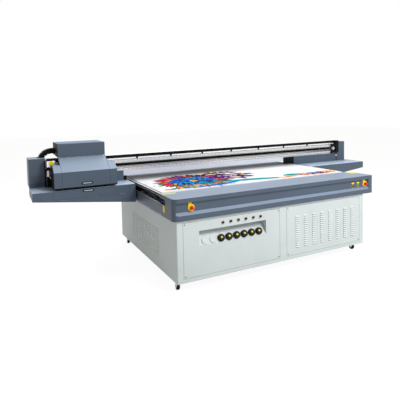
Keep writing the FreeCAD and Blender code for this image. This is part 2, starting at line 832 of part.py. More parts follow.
def make_caster_fork(corner):
    """Swivelling fork: a round head on the king pin, two cheeks and the wheel's axle."""
    x, y = caster_place(corner)
    wheel_y = y + " + caster_trail"
    head_base = "ground_gap - caster_plate - caster_head"
    head = rod((x, y, head_base), "fork_head", "caster_head - slide_fit")
    half = "(wheel_width / 2 + 2)"
    left = x + " - " + half + " - fork_sheet"
    wide = "2 * " + half + " + 2 * fork_sheet"
    below = "wheel_radius - axle_radius - 4 - (%s)" % head_base
    cheek = [("-fork_half", "0"), ("fork_half", "0"), ("caster_trail + 2 * axle_radius", below),
             ("caster_trail - 2 * axle_radius", below)]
    cheeks = [prism("YZ", cheek, "fork_sheet", (across, y, head_base))
              for across in (left, x + " + " + half)]
    crown = block((left, y + " - fork_half", head_base + " - crown"), (wide, "2 * fork_half", "crown"))
    axle = rod((left + " - 3", wheel_y, "wheel_radius"), "axle_radius", wide + " + 6", "X")
    hole = rod((x, y, head_base + " - crown"), "king_radius + shaft_fit", "crown + caster_head")
    return cut(fuse(head, crown, axle, *cheeks), hole)


def make_caster_wheel(corner):
    """Solid tyre and hub with a running bore."""
    x, y = caster_place(corner)
    half = "wheel_width / 2"
    wheel = lathe([("axle_radius + shaft_fit", "-" + half), ("wheel_radius - 4", "-" + half),
                   ("wheel_radius", "-" + half + " + 5"), ("wheel_radius", half + " - 5"),
                   ("wheel_radius - 4", half), ("axle_radius + shaft_fit", half)],
                  (x, y + " + caster_trail", "wheel_radius"), "X")
    return wheel


def make_caster_plates():
    """The four caster plates under the frame, each with its king pin and nut."""
    pieces = []
    for corner in CORNERS:
        x, y = caster_place(corner)
        plate = block((x + " - plate_half", y + " - plate_half", "ground_gap - caster_plate"),
                      ("2 * plate_half", "2 * plate_half", "caster_plate"))
        foot_of_pin = "ground_gap - caster_plate - caster_head - crown - 6"
        pin = rod((x, y, foot_of_pin), "king_radius", "caster_head + crown + 6")
        nut = rod((x, y, foot_of_pin), "king_radius + 5", "6 - slide_fit")
        pieces.append(fuse(plate, pin, nut))
    return group(*pieces, name="Plates")


def make_apron_front():
    """Front apron: rounded left corner, long sunk panel over a sloping ledge, hollow behind."""
    def left_front_corner(edge):
        box = edge.BoundBox
        return box.ZLength > 10 and box.XMax < 1 and box.YMax < 1

    width = "(apron_right - skirt_left)"
    end = "(skirt_right - skirt_left)"
    outer = prism("XY", [("0", "0"), (width, "0"), (width, "apron_end_depth"), (end, "apron_end_depth"),
                         (end, "apron_depth"), ("0", "apron_depth")],
                  "apron_height", ("skirt_left", "table_front", "table_base"))
    round_edges(outer, "apron_round", left_front_corner)
    sunk = prism("YZ", [("0", "recess_base"), ("recess_depth", "recess_base + ledge_rise"),
                        ("recess_depth", "recess_top"), ("0", "recess_top + 3")],
                 "apron_right - skirt_left - recess_end_left - recess_end_right",
                 ("skirt_left + recess_end_left", "table_front", "table_base"))
    hollow = block(("skirt_left + top_sheet", "table_front + apron_wall", "table_base"),
                   (end + " - 2 * top_sheet", "apron_depth - apron_wall", "apron_height - top_sheet"))
    pocket = block(("skirt_right - top_sheet", "table_front + apron_wall", "table_base"),
                   ("right_overhang - side_overhang", "apron_end_depth - apron_wall - top_sheet",
                    "apron_height - top_sheet"))
    slot = block(("skirt_left - 1", "slot_front", "slot_base"),
                 (end + " + 2", "apron_depth - slot_setback", "bed_base - slot_base"))
    wells = [rod(estop_place(side), "mushroom_radius * 0.6 + button_fit", "switch_well", "Y")
             for side in (-1, 1)]
    wells += [rod(button_place(number), "button_radius + button_fit", "switch_well", "Y")
              for number in (1, 2)]
    return cut(outer, sunk, hollow, pocket, slot, *wells)


def skirt_sheet(outer_face, inward):
    """One long side skirt: a channel whose lips turn inwards, with a small drip edge at its foot."""
    foot = "side_overhang + 2 * skin + skirt_seat"
    across = [("0", "6"), ("-4", "6"), ("-4", "0"), (foot, "0"), (foot, "skin"),
              ("skin", "skin"), ("skin", "skirt_height - skin"), ("skirt_lip", "skirt_height - skin"),
              ("skirt_lip", "skirt_height"), ("0", "skirt_height")]
    if inward < 0:
        across = [("-(%s)" % step, up) for step, up in across]
    return prism("XZ", across, "table_depth - apron_depth", (outer_face, "bed_front", "table_base"))


def make_table_skirts():
    """Side skirts under the slots and the cover across the back of the table."""
    left, right = skirt_sheet("skirt_left", 1), skirt_sheet("skirt_right", -1)
    width = "skirt_right - skirt_left"
    depth = "table_rear - bed_rear"
    outer = block(("skirt_left", "bed_rear", "bed_base"), (width, depth, "bed_thick"))
    back = block(("skirt_left", "table_rear - skin", "table_base"), (width, "skin", "apron_height"))
    hollow = block(("skirt_left + top_sheet", "bed_rear", "bed_base"),
                   (width + " - 2 * top_sheet", depth + " - skin", "bed_thick - top_sheet"))
    cover = fuse(cut(outer, hollow), back)
    trims = [block((across, "table_rear - skin", "table_base"), ("100", "skin", "skirt_height"))
             for across in ("skirt_left", "skirt_right - 100")]
    return group(cut(left, trims[0]), cut(right, trims[1]), cover, name="Skirts")


def make_bed():
    """Vacuum table with an aluminium edge section along each side."""
    table = block(("-bed_width / 2 + edging_width", "bed_front", "bed_base"),
                  ("bed_width - 2 * edging_width", "bed_depth", "bed_thick"))
    edges = []
    for side in (-1, 1):
        section = [("0", "0"), ("edging_width", "0"), ("edging_width", "bed_thick"), ("0", "bed_thick"),
                   ("0", "bed_thick * 0.6"), ("3", "bed_thick * 0.6"), ("3", "bed_thick * 0.4"),
                   ("0", "bed_thick * 0.4")]
        if side > 0:
            section = [("edging_width - (%s)" % across, up) for across, up in section]
        start = "-bed_width / 2" if side < 0 else "bed_width / 2 - edging_width"
        edges.append(prism("XZ", section, "bed_depth", (start, "bed_front", "bed_base")))
    return group(table, *edges, name="Bed")


def make_print_sheet():
    """The rigid board lying on the bed."""
    return block(("-sheet_width / 2", "bed_front + (bed_depth - sheet_depth) / 2", "table_top"),
                 ("sheet_width", "sheet_depth", "sheet_thick"))


def rail_middle(side):
    """X of a long rail's middle on one side."""
    return "cab_left + rail_inset" if side < 0 else "cab_right - rail_inset"


def screw_middle(side):
    return "cab_left + screw_inset_across" if side < 0 else "cab_right - screw_inset_across"


def rail_section(width, height):
    """A linear rail's section with a waist, about its middle, seen along the rail."""
    half = "(%s) / 2" % width
    right = [(half, "0"), (half, height + " * 0.35"), (half + " - rail_waist", height + " * 0.5"),
             (half, height + " * 0.65"), (half, height)]
    left = [("-(%s)" % across, up) for across, up in reversed(right)]
    return right + left


def make_y_rails():
    """The two long rails on their riser bars, with the screws' bearing blocks and servo motors."""
    start = "frame_front + tube / 2"
    length = "cabinet_depth - 4 * skin - tube"
    pieces = []
    for side in (-1, 1):
        middle = rail_middle(side)
        pieces.append(block((middle + " - rail_foot / 2", start, "cab_top"),
                            ("rail_foot", length, "rail_riser")))
        pieces.append(prism("XZ", rail_section("rail_width", "rail_height"), length,
                            (middle, start, "rail_up")))
        middle = screw_middle(side)
        for along in ("cab_front + screw_end_gap + 5", "cab_rear - screw_end_gap - 35"):
            housing = block((middle + " - motor_width / 2", along, "cab_top"),
                            ("motor_width", "30", "screw_up + motor_width / 2"))
            bore = rod((middle, along, "screw_z"), "screw_radius - 3 + shaft_fit", "30", "Y")
            pieces.append(cut(housing, bore))
        pieces.append(block((middle + " - motor_width / 2", "cab_rear - screw_end_gap + 4", "cab_top"),
                            ("motor_width", "motor_length", "screw_up + motor_width / 2")))
    return group(*pieces, name="Rails")


def make_y_screw(side):
    """Ball screw with turned-down ends, beside its rail."""
    length = "(cabinet_depth - 2 * screw_end_gap)"
    journal = "screw_radius - 3"
    return lathe([("0", "0"), (journal, "0"), (journal, "40"), ("screw_radius", "40"),
                  ("screw_radius", length + " - 40"), (journal, length + " - 40"), (journal, length),
                  ("0", length)],
                 (screw_middle(side), "cab_front + screw_end_gap", "screw_z"), "Y")


def estop_place(side):
    """Middle of an emergency stop's legend disc, on the sunk face of the apron."""
    across = "skirt_left + estop_left_in" if side < 0 else "apron_right - estop_right_in"
    return across, "recess_face", "table_base + legend_up"


def button_place(number):
    across, along, _ = estop_place(1)
    return across + " - %d * button_pitch - 30" % number, along, "table_base + button_up"


def make_switch_housings():
    """Yellow legend discs with their tabs, and the yellow plates over the two push buttons."""
    pieces = []
    for side in (-1, 1):
        across, along, up = estop_place(side)
        disc = rod((across, along + " - legend_thick", up), "legend_radius", "legend_thick", "Y")
        tab = block((across + " - legend_radius * 0.9", along + " - legend_thick",
                     up + " + legend_radius * 0.4"),
                    ("legend_radius", "legend_thick", "legend_radius * 1.1"))
        bore = rod((across, along + " - legend_thick", up), "mushroom_radius * 0.6 + button_fit",
                   "legend_thick", "Y")
        pieces.append(cut(fuse(disc, tab), bore))
    for number in (1, 2):
        across, along, up = button_place(number)
        pieces.append(block((across + " - plate_wide / 2", along + " - 2", up + " + button_radius + 14"),
                            ("plate_wide", "2", "plate_high")))
        ring = rod((across, along + " - 3", up), "button_radius + 4", "3", "Y")
        bore = rod((across, along + " - 3", up), "button_radius + button_fit", "3", "Y")
        pieces.append(cut(ring, bore))
    return group(*pieces, name="Switches")


def make_estop(side):
    """Red mushroom head on its stem, which slides into a well behind the legend disc."""
    across, along, up = estop_place(side)
    collar = "mushroom_collar"
    return lathe([("0", "-2"), ("mushroom_radius * 0.6", "-2"),
                  ("mushroom_radius * 0.6", "legend_thick + " + collar),
                  ("mushroom_radius", "legend_thick + " + collar),
                  ("mushroom_radius", "legend_thick + mushroom_collar + mushroom_height * 0.55"),
                  ("mushroom_radius * 0.8", "legend_thick + mushroom_collar + mushroom_height * 0.85"),
                  ("mushroom_radius * 0.4", "legend_thick + mushroom_collar + mushroom_height"),
                  ("0", "legend_thick + mushroom_collar + mushroom_height")],
                 (across, along, up), "-Y")


def make_button(number):
    """A flat push button in its well."""
    across, along, up = button_place(number)
    return lathe([("0", "-3"), ("button_radius", "-3"), ("button_radius", "button_rise - 1"),
                  ("button_radius - 1", "button_rise"), ("0", "button_rise")],
                 (across, along, up), "-Y")


def either(side, formula, width="0"):
    """A formula for the right side, or its mirror image for the left."""
    return formula if side > 0 else "-(%s) - (%s)" % (formula, width)


def make_gantry_legs():
    """Cast legs: an arm in through each slot, a stepped upright, and a black shoe under the beam."""
    legs = []
    for side in (-1, 1):
        roof = ("table_top" if side < 0 else "shelf_top") + " - tray_skin - leg_floor"
        upright = prism("YZ", [("0", "0"), ("beam_rear - arm_front", "0"),
                               ("beam_rear - arm_front", "beam_base - leg_floor"),
                               ("beam_front - arm_front", "beam_base - leg_floor"),
                               ("beam_front - arm_front", roof), ("0", roof)],
                        "leg_width", (either(side, "leg_inner", "leg_width"), "arm_front", "leg_floor"))
        reach = "leg_inner - (cabinet_width / 2 - screw_inset_across) + 40"
        arm = block((either(side, "leg_inner - (%s)" % reach, reach), "arm_front", "arm_base"),
                    (reach, "arm_length", "arm_thick"))
        boss = block((rail_middle(side) + " - block_width / 2", "arm_front", "block_base + block_height"),
                     ("block_width", "arm_length", "arm_base - block_base - block_height"))
        legs.append(fuse(upright, arm, boss))
    shoe = block(("cab_right", "beam_front", "table_top + shoe_gap"),
                 ("leg_inner - cab_right", "beam_depth", "beam_base - table_top - shoe_gap"))
    lip = block(("cab_right - shoe_inset", "beam_front - fascia_thick - 2", "table_top + shoe_gap"),
                ("shoe_inset + leg_inner - cab_right", "fascia_thick + 2",
                 "beam_base - table_top - shoe_gap + shoe_rise"))
    return group(legs[0], fuse(legs[1], shoe, lip), name="Legs")


def make_gantry_blocks():
    """Bearing blocks on the long rails and the nuts on the ball screws."""
    pieces = []
    for side in (-1, 1):
        middle = rail_middle(side)
        for along in ("arm_front", "arm_front + arm_length - block_length"):
            carrier = block((middle + " - block_width / 2", along, "block_base"),
                            ("block_width", "block_length", "block_height"))
            slot = block((middle + " - rail_width / 2 - slide_fit", along, "block_base"),
                         ("rail_width + 2 * slide_fit", "block_length",
                          "rail_up + rail_height + slide_fit - block_base"))
            pieces.append(cut(carrier, slot))
        middle = screw_middle(side)
        nut = block((middle + " - 30", "arm_front + arm_length / 2 - 35", "screw_z - 26"),
                    ("60", "70", "arm_base - screw_z + 26"))
        bore = rod((middle, "arm_front + arm_length / 2 - 35", "screw_z"), "screw_radius + shaft_fit",
                   "70", "Y")
        pieces.append(cut(nut, bore))
    return group(*pieces, name="Blocks")


def hinge_pin(start, along, up):
    """The fixed half of a small butt hinge along X: its pin, two outer knuckles and their leaves.

    The leaves reach back to a face half a millimetre behind the knuckles.
    """
    third = "hinge_length / 3"
    pieces = [rod((start, along, up), "pin_radius", "hinge_length", "X")]
    for step in (0, 2):
        place = start + " + %d * %s" % (step, third)
        pieces.append(rod((place, along, up), "knuckle_radius", third, "X"))
        pieces.append(block((place, along, up + " - 1"), (third, "knuckle_radius + 0.5", "2")))
    return pieces


def hinge_knuckle(start, along, up, leaf):
    """The moving middle knuckle and its leaf, whose section is given about the pin."""
    place = start + " + hinge_length / 3 + slide_fit"
    length = "(hinge_length / 3 - 2 * slide_fit)"
    knuckle = rod((place, along, up), "knuckle_radius", length, "X")
    bore = rod((place, along, up), "pin_radius + shaft_fit", length, "X")
    return [cut(fuse(knuckle, prism("YZ", leaf, length, (place, along, up))), bore)]


def make_service_tray():
    """Tapered tray under the parking place, open at the back, with its windows, hinge pins and guides."""
    height = "(tray_thick + tray_taper)"
    outer = prism("XZ", [("0", "tray_taper"), ("tray_width", "0"), ("tray_width", height), ("0", height)],
                  "tray_depth", ("reach_left", "gantry_front", "tray_floor"))
    inner = prism("XZ", [("tray_skin", "tray_taper + tray_skin"),
                         ("tray_width - tray_skin", "tray_skin * 1.4"),
                         ("tray_width - tray_skin", height + " - tray_skin"),
                         ("tray_skin", height + " - tray_skin")],
                  "tray_depth", ("reach_left", "gantry_front + tray_skin", "tray_floor"))
    door_window = block(("door_left", "gantry_front", "door_floor"),
                        ("door_width", "tray_skin", "door_height - 2 * tray_skin"))
    wet_window = block(("core_left + 30", "gantry_front + 40", "table_top - tray_skin"),
                       ("carriage_core - 60", "260", "tray_skin"))
    arm_window = block(("tray_right - tray_skin", "arm_front - 6", "arm_base - 6"),
                       ("tray_skin", "arm_length + 12", "arm_thick + 12"))
    column_window = block(("tray_right - 2 * tray_skin - leg_width - 6", "beam_front - 6",
                           "table_top - tray_skin"),
                          ("leg_width + 12 + tray_skin", "tray_depth", "tray_skin"))
    tray = cut(outer, inner, door_window, wet_window, arm_window, column_window)
    guides = []
    for across in ("core_left + 90", "core_right - 90"):
        foot = "tray_floor + tray_taper * (tray_right - (%s)) / tray_width + 1" % across
        seat_z = "(carriage_base - cap_seat_travel - cap_seat_height)"
        guides.append(rod((across, "gantry_front + 170", foot), "guide_radius + 5",
                          seat_z + " - (%s)" % foot))
        guides.append(rod((across, "gantry_front + 170", foot), "guide_radius",
                          "table_top + 1 - (%s)" % foot))
    hinges = []
    for place in door_hinges():
        hinges += hinge_pin(place, "gantry_front - knuckle_radius - 0.5", "door_floor - 3")
    back_panel = block(("beam_left", "beam_front - fascia_thick", "table_top"),
                       ("fascia_left - beam_left", "fascia_thick", "beam_gap + fascia_height"))
    return group(fuse(tray, *guides, *hinges), back_panel, name="ServiceTray")


def door_hinges():
    return ["door_left + 60", "door_left + door_width - 60 - hinge_length"]


def pull(across, face, up):
    """A low oval pull that stands on a front face."""
    front = face + " - pull_rise"
    left_end = across + " - (pull_length - pull_height) / 2"
    right_end = across + " + (pull_length - pull_height) / 2"
    ends = [rod((place, front, up), "pull_height / 2", "pull_rise", "Y") for place in (left_end, right_end)]
    middle = block((left_end, front, up + " - pull_height / 2"),
                   ("pull_length - pull_height", "pull_rise", "pull_height"))
    return ends + [middle]


def make_tray_door():
    """Drop-down door of the service tray with its pull and middle knuckles."""
    sheet = block(("door_left + door_gap", "gantry_front", "door_floor + door_gap"),
                  ("door_width - 2 * door_gap", "tray_skin", "door_height - 2 * tray_skin - 2 * door_gap"))
    pieces = [sheet] + pull("door_left + door_width * 0.43", "gantry_front", "table_top - 22")
    leaf = [("-1", "2.5"), ("1", "2.5"), ("knuckle_radius + 0.5", "5 + door_gap"),
            ("knuckle_radius + 0.5", "20"), ("knuckle_radius - 1.5", "20"),
            ("knuckle_radius - 1.5", "6 + door_gap")]
    for place in door_hinges():
        pieces += hinge_knuckle(place, "gantry_front - knuckle_radius - 0.5", "door_floor - 3", leaf)
    return fuse(*pieces, name="Door")


def head_places():
    """Corner of each print head, in two rows of four."""
    places = []
    for row in range(2):
        for column in range(4):
            across = "core_left + carriage_core / 2 + %s * head_pitch_across - head_wide / 2" % (column - 1.5)
            along = "gantry_front + 110 + %d * 2 * head_pitch_along" % row
            places.append((across, along))
    return places


def make_cap_station():
    """Rising plate with a soft-lipped cup under each print head, on two guides."""
    top = "carriage_base - cap_seat_travel"
    base = block(("core_left + 50", "gantry_front + 80", top + " - cap_seat_height"),
                 ("carriage_core - 100", "180", "10"))
    cups = []
    for across, along in head_places():
        cups.append(block((across + " - 3", along + " - 3", top + " - cap_seat_height"),
                          ("head_wide + 6", "head_long + 6", "cap_seat_height")))
    wells = [block((across + " + 6", along + " + 6", top + " - 8"), ("head_wide - 12", "head_long - 12", "8"))
             for across, along in head_places()]
    bores = [rod((x, "gantry_front + 170", top + " - cap_seat_height"), "guide_radius + shaft_fit", "10")
             for x in ("core_left + 90", "core_right - 90")]
    return cut(fuse(base, *cups), *wells, *bores)


def make_right_shelf():
    """Tapered shelf beyond the right of the bed, open at the back, with its upstand under the beam."""
    height = "(shelf_thick + shelf_taper)"
    outer = prism("XZ", [("0", "0"), ("shelf_width", "shelf_taper"), ("shelf_width", height), ("0", height)],
                  "shelf_depth", ("shelf_left", "gantry_front", "shelf_floor"))
    inner = prism("XZ", [("-1", "tray_skin * 1.4"), ("shelf_width - tray_skin", "shelf_taper + tray_skin"),
                         ("shelf_width - tray_skin", height + " - tray_skin"),
                         ("-1", height + " - tray_skin")],
                  "shelf_depth", ("shelf_left", "gantry_front + tray_skin", "shelf_floor"))
    column_window = block(("shelf_left", "beam_front - 6", "shelf_top - tray_skin"),
                          ("leg_inner + leg_width + 6 - shelf_left", "shelf_depth", "tray_skin"))
    upstand = block(("leg_inner", "beam_front - fascia_thick", "shelf_top"),
                    ("beam_right - 20 - leg_inner", "fascia_thick", "shelf_drop + beam_gap + 38"))
    return group(cut(outer, inner, column_window), upstand, name="Shelf")


def pillar(left, front, floor, width, height, open_side):
    """One upright end cover, open towards the beam."""
    def uprights(edge):
        return edge.BoundBox.ZLength > 10

    body = prism("XY", [("0", "0"), (width, "0"), (width, "pillar_depth"), ("0", "pillar_depth")], height,
                 (left, front, floor))
    round_edges(body, "pillar_round", uprights)
    start = left + (" + tray_skin" if open_side > 0 else " - 1")
    hollow = block((start, front + " + tray_skin", floor + " + tray_skin"),
                   (width + " - tray_skin + 1", "pillar_depth - 2 * tray_skin", height + " - 2 * tray_skin"))
    return cut(body, hollow)


def make_end_pillars():
    """Covers over the beam's two ends."""
    cover = pillar("reach_left", "beam_front + 50", "table_top", "pillar_left_width", "pillar_height", 1)
    slot_left = "chain_x - chain_bend_radius - chain_high / 2 - chain_clear"
    chain_slot = block((slot_left, "chain_front - chain_clear", "table_top + pillar_height - tray_skin"),
                       ("beam_left + 1 - (%s)" % slot_left, "chain_wide + 2 * chain_clear", "tray_skin"))
    left = cut(cover, chain_slot)
    right = pillar("beam_right", "beam_front", "shelf_top", "pillar_right_width",
                   "pillar_height - 21", -1)
    return group(left, right, name="Pillars")


def make_beam():
    """Extruded beam: hollow section with a belt groove, and the pale fascia along its foot."""
    section = [("0", "0"), ("beam_depth", "0"), ("beam_depth", "beam_height"), ("0", "beam_height"),
               ("0", "belt_up + 16"), ("groove_depth", "belt_up + 16"), ("groove_depth", "belt_up - 16"),
               ("0", "belt_up - 16")]
    outer = prism("YZ", section, "beam_right - beam_left", ("beam_left", "beam_front", "beam_base"))
    wall = "(groove_depth + beam_wall)"
    hollow = block(("beam_left", "beam_front + " + wall, "beam_base + beam_wall"),
                   ("beam_right - beam_left", "beam_depth - beam_wall - " + wall,
                    "beam_height - 2 * beam_wall"))
    shaft = rod(("pulley_left", "beam_front", "belt_z"), "axle_radius + shaft_fit", wall, "Y")
    fascia = block(("fascia_left", "beam_front - fascia_thick", "beam_base"),
                   ("cab_right - shoe_inset - fascia_left", "fascia_thick", "fascia_height"))
    return group(cut(outer, hollow, shaft), fascia, name="Beam")


def make_x_rails():
    """The carriage's two rails on the beam's front face."""
    section = [("-(%s)" % up, across) for across, up in rail_section("x_rail_width", "x_rail_thick")]
    rails = [prism("YZ", section, "rail_x_length", ("rail_x", "beam_front", "beam_base + " + up))
             for up in ("lower_rail_up", "upper_rail_up")]
    return group(*rails, name="CarriageRails")


def loop(radius, width_from, width):
    """A filled belt outline: two round ends and the stretch between them."""
    ends = [rod((x, width_from, "belt_z"), radius, width, "Y") for x in ("pulley_left", "pulley_right")]
    middle = block(("pulley_left", width_from, "belt_z - (%s)" % radius),
                   ("pulley_right - pulley_left", width, "2 * (%s)" % radius))
    return fuse(middle, *ends)


def make_x_belt():
    """Flat toothed belt round the two pulleys."""
    outer = loop("pulley_radius + slide_fit + belt_thick", "belt_y", "belt_width")
    inner = loop("pulley_radius + slide_fit", "belt_y", "belt_width")
    return cut(outer, inner)


def pulley_section(bore):
    """Half of a flanged pulley's section, from its front face back."""
    flange = "pulley_radius + slide_fit + belt_thick + 1"
    thick = "pulley_flange"
    width = "2 * pulley_flange + 2 * slide_fit + belt_width"
    return [(bore, "0"), (flange, "0"), (flange, thick), ("pulley_radius", thick),
            ("pulley_radius", width + " - " + thick), (flange, width + " - " + thick), (flange, width),
            (bore, width)]


def make_drive_pulley():
    """Left pulley, fast on the motor's shaft, which passes through the beam's front wall."""
    place = ("pulley_left", "belt_y - pulley_flange - slide_fit", "belt_z")
    wheel = lathe(pulley_section("0"), place, "Y")
    shaft = rod(("pulley_left", "beam_front - 3", "belt_z"), "axle_radius",
                "3 + groove_depth + beam_wall + 20", "Y")
    return fuse(wheel, shaft)


def make_idler_pulley():
    """Right pulley, free on its pin."""
    place = ("pulley_right", "belt_y - pulley_flange - slide_fit", "belt_z")
    return lathe(pulley_section("axle_radius + shaft_fit"), place, "Y")


def make_x_drive_mounts():
    """Motor in the beam's left end, idler pin, and the end brackets with their rail buffers."""
    wall = "groove_depth + beam_wall"
    motor = block(("pulley_left - 45", "beam_front + " + wall, "beam_base + beam_wall"),
                  ("90", "100", "belt_up + 45 - beam_wall"))
    socket = rod(("pulley_left", "beam_front + " + wall, "belt_z"), "axle_radius + shaft_fit", "22", "Y")
    pin = rod(("pulley_right", "belt_y - pulley_flange - slide_fit - 4", "belt_z"), "axle_radius",
              "belt_width + pulley_flange + slide_fit + 7 + groove_depth", "Y")
    foot = "beam_base + 70"
    middle = "beam_front - end_bracket / 2"
    bracket = block(("beam_right - 60", "beam_front - end_bracket", foot),
                    ("60", "end_bracket", "beam_height - 70"))
    buffers = [rod(("rail_x + rail_x_length", middle, "beam_base + " + up), "buffer_radius",
                   "rail_end_right - 60", "X") for up in ("lower_rail_up", "upper_rail_up")]
    left_bracket = block(("beam_left + 2", "beam_front - end_bracket", foot),
                         ("24", "end_bracket", "upper_rail_up + 24 - 70"))
    left_buffers = [rod(("beam_left + 26", middle, "beam_base + " + up), "buffer_radius",
                        "rail_end_left - 26", "X") for up in ("lower_rail_up", "upper_rail_up")]
    return group(cut(motor, socket), pin, fuse(bracket, *buffers), fuse(left_bracket, *left_buffers),
                 name="DriveMounts")


def make_chain_trough():
    """Black cable trough on brackets behind the beam, and the black strip along the beam's front."""
    floor = "chain_base - beam_base"
    far = "trough_rear - beam_front"
    gusset = [("beam_depth", floor + " - 45"), (far, floor + " - 9"), (far, floor + " - trough_skin"),
              ("beam_depth", floor + " - trough_skin")]
    count = 8
    pieces = []
    for step in range(count):
        start = "cab_left + first_bracket + %d * bracket_pitch" % step
        pieces.append(prism("YZ", gusset, "bracket_width", (start, "beam_front", "beam_base")))
        pieces.append(block((start, "beam_front - 3", "beam_base + upper_rail_up + 16"),
                            ("bracket_width", "3", "beam_height - upper_rail_up - 16 - strip_height")))
    start, length = "chain_x", "beam_right - chain_x - 20"
    pieces.append(block((start, "chain_front - 5", "chain_base - trough_skin"),
                        (length, "trough_rear - chain_front + 5 - trough_skin", "trough_skin")))
    pieces.append(block((start, "trough_rear - trough_skin", "chain_base - trough_skin"),
                        (length, "trough_skin", "trough_lip")))
    pieces.append(block(("beam_left + 2", "beam_front - 3", "beam_top - strip_height"),
                        ("beam_right - beam_left - 64", "3", "strip_height")))
    return group(*pieces, name="Trough")


def link_row(start, up, count):
    """Straight chain: deep link plates joined by narrower necks."""
    plates = [block((start + " + %d * chain_pitch + link_gap / 2" % step, "chain_front", up),
                    ("chain_pitch - link_gap", "chain_wide", "chain_high")) for step in range(count)]
    spine = block((start, "chain_front + 8", up + " + 10"),
                  ("%d * chain_pitch" % count, "chain_wide - 16", "chain_high - 20"))
    return fuse(spine, *plates)


def make_chain_lower_run():
    """The chain's lower run, lying in the trough as far as its fixed end."""
    return link_row("chain_x + 0.5", "chain_base", int(SIZES["chain_fixed_links"]))


def ring_point(radius, angle):
    return "(%s) * cos(%s)" % (radius, angle), "(%s) * sin(%s)" % (radius, angle)


def ring_sector(inner, outer, start, end, front, width):
    """A flat-sided sector of the chain's half turn, standing on the turn's axis along Y."""
    corners = [ring_point(inner, start), ring_point(outer, start), ring_point(outer, end),
               ring_point(inner, end)]
    return prism("XZ", corners, width, ("chain_x", front, "chain_z"))


def make_chain_bend():
    """The chain's half turn: link plates and necks set round a circle."""
    inner = "chain_bend_radius - chain_high / 2"
    outer = "chain_bend_radius + chain_high / 2"
    gap = "link_gap / chain_bend_radius * 90 / 3.14159265"
    count = SIZES["chain_bend_links"]
    pieces = []
    for step in range(count):
        start = "90 + 180 / chain_bend_links * %d" % step
        end = "90 + 180 / chain_bend_links * %d" % (step + 1)
        pieces.append(ring_sector(inner, outer, start + " + " + gap, end + " - " + gap, "chain_front",
                                  "chain_wide"))
        pieces.append(ring_sector(inner + " + 10", outer + " - 10", start, end, "chain_front + 8",
                                  "chain_wide - 16"))
    return fuse(*pieces, name="Bend")


def make_carriage_slide():
    """Plate on four bearing blocks, with belt jaws, lift rails, and the arm over the beam to the chain."""
    left, right = "core_left + 20", "core_right - 20"
    plate_top = "beam_top + 12"
    pieces = [block((left, "plate_front", "beam_base + lower_rail_up - 24"),
                    (right + " - (%s)" % left, "slide_front - plate_front",
                     plate_top + " - beam_base - lower_rail_up + 24"))]
    for across in (left, right + " - 90"):
        for up in ("lower_rail_up", "upper_rail_up"):
            carrier = block((across, "slide_front", "beam_base + " + up + " - 22"),
                            ("90", "slide_back - slide_front", "44"))
            slot = block((across, "beam_front - x_rail_thick - slide_fit",
                          "beam_base + " + up + " - x_rail_width / 2 - slide_fit"),
                         ("90", "x_rail_thick", "x_rail_width + 2 * slide_fit"))
            pieces.append(cut(carrier, slot))
    jaw_left = "core_left + carriage_core / 2 - 30"
    strand = "belt_z - pulley_radius - slide_fit"
    pieces.append(block((jaw_left, "slide_front", strand + " + slide_fit"), ("60", "belt_width", "12")))
    pieces.append(block((jaw_left, "slide_front", strand + " - belt_thick - slide_fit - 12"),
                        ("60", "belt_width", "12")))
    for across in ("core_left + 120", "core_right - 140"):
        pieces.append(block((across, "plate_front - lift_rail", "beam_base + lower_rail_up - 20"),
                            ("20", "lift_rail", "lift_rail_length")))
    pieces.append(block((left, "plate_front", plate_top), (right + " - (%s)" % left, "12", "8")))
    arm_left = "chain_end"
    pieces.append(block((arm_left, "plate_front", plate_top),
                        ("chain_bracket", "chain_front + chain_wide - plate_front", "8")))
    pieces.append(block((arm_left, "chain_front", plate_top), ("chain_bracket", "chain_wide",
                        "chain_z + chain_bend_radius + chain_high / 2 - beam_top - 12")))
    upper = link_row("chain_x + 0.5", "chain_z + chain_bend_radius - chain_high / 2", 2)
    return group(fuse(*pieces), upper, name="Slide")


def make_head_plate():
    """Base plate with a window for each print head, and an upright whose blocks ride the lift rails."""
    base = block(("core_left + cover_skin", "gantry_front + 30", "carriage_base + 4"),
                 ("carriage_core - 2 * cover_skin", "plate_front - gantry_front - 30 - lift_rail - 2",
                  "plate_thick"))
    windows = [block((across, along, "carriage_base + 4"), ("head_wide", "head_long", "plate_thick"))
               for across, along in head_places()]
    upright_front = "plate_front - lift_rail - 14"
    upright = block(("core_left + 60", upright_front, "carriage_base + 4"),
                    ("carriage_core - 120", "12", "hood_base - carriage_base - 30"))
    blocks = []
    for across in ("core_left + 120", "core_right - 140"):
        carrier = block((across + " - 14", upright_front + " + 12", "beam_base + lower_rail_up"),
                        ("48", "lift_rail - slide_fit + 1.6", "70"))
        slot = block((across + " - slide_fit", upright_front + " + 12", "beam_base + lower_rail_up"),
                     ("20 + 2 * slide_fit", "lift_rail + 4", "70"))
        blocks.append(cut(carrier, slot))
    return fuse(cut(base, *windows), upright, *blocks, name="HeadPlate")


def make_print_heads():
    """Eight print heads hung in the base plate by their shoulders."""
    heads = []
    for across, along in head_places():
        nose = block((across, along, "carriage_base + 1"), ("head_wide", "head_long", "3 + plate_thick"))
        case = block((across + " - 6", along + " - 4", "carriage_base + 4 + plate_thick"),
                     ("head_wide + 12", "head_long + 8", "head_high - 30"))
        stack = block((across + " + 8", along + " + 6", "carriage_base + 4 + plate_thick + head_high - 30"),
                      ("head_wide - 16", "head_long - 12", "30"))
        heads.append(fuse(nose, case, stack))
    return group(*heads, name="Heads")


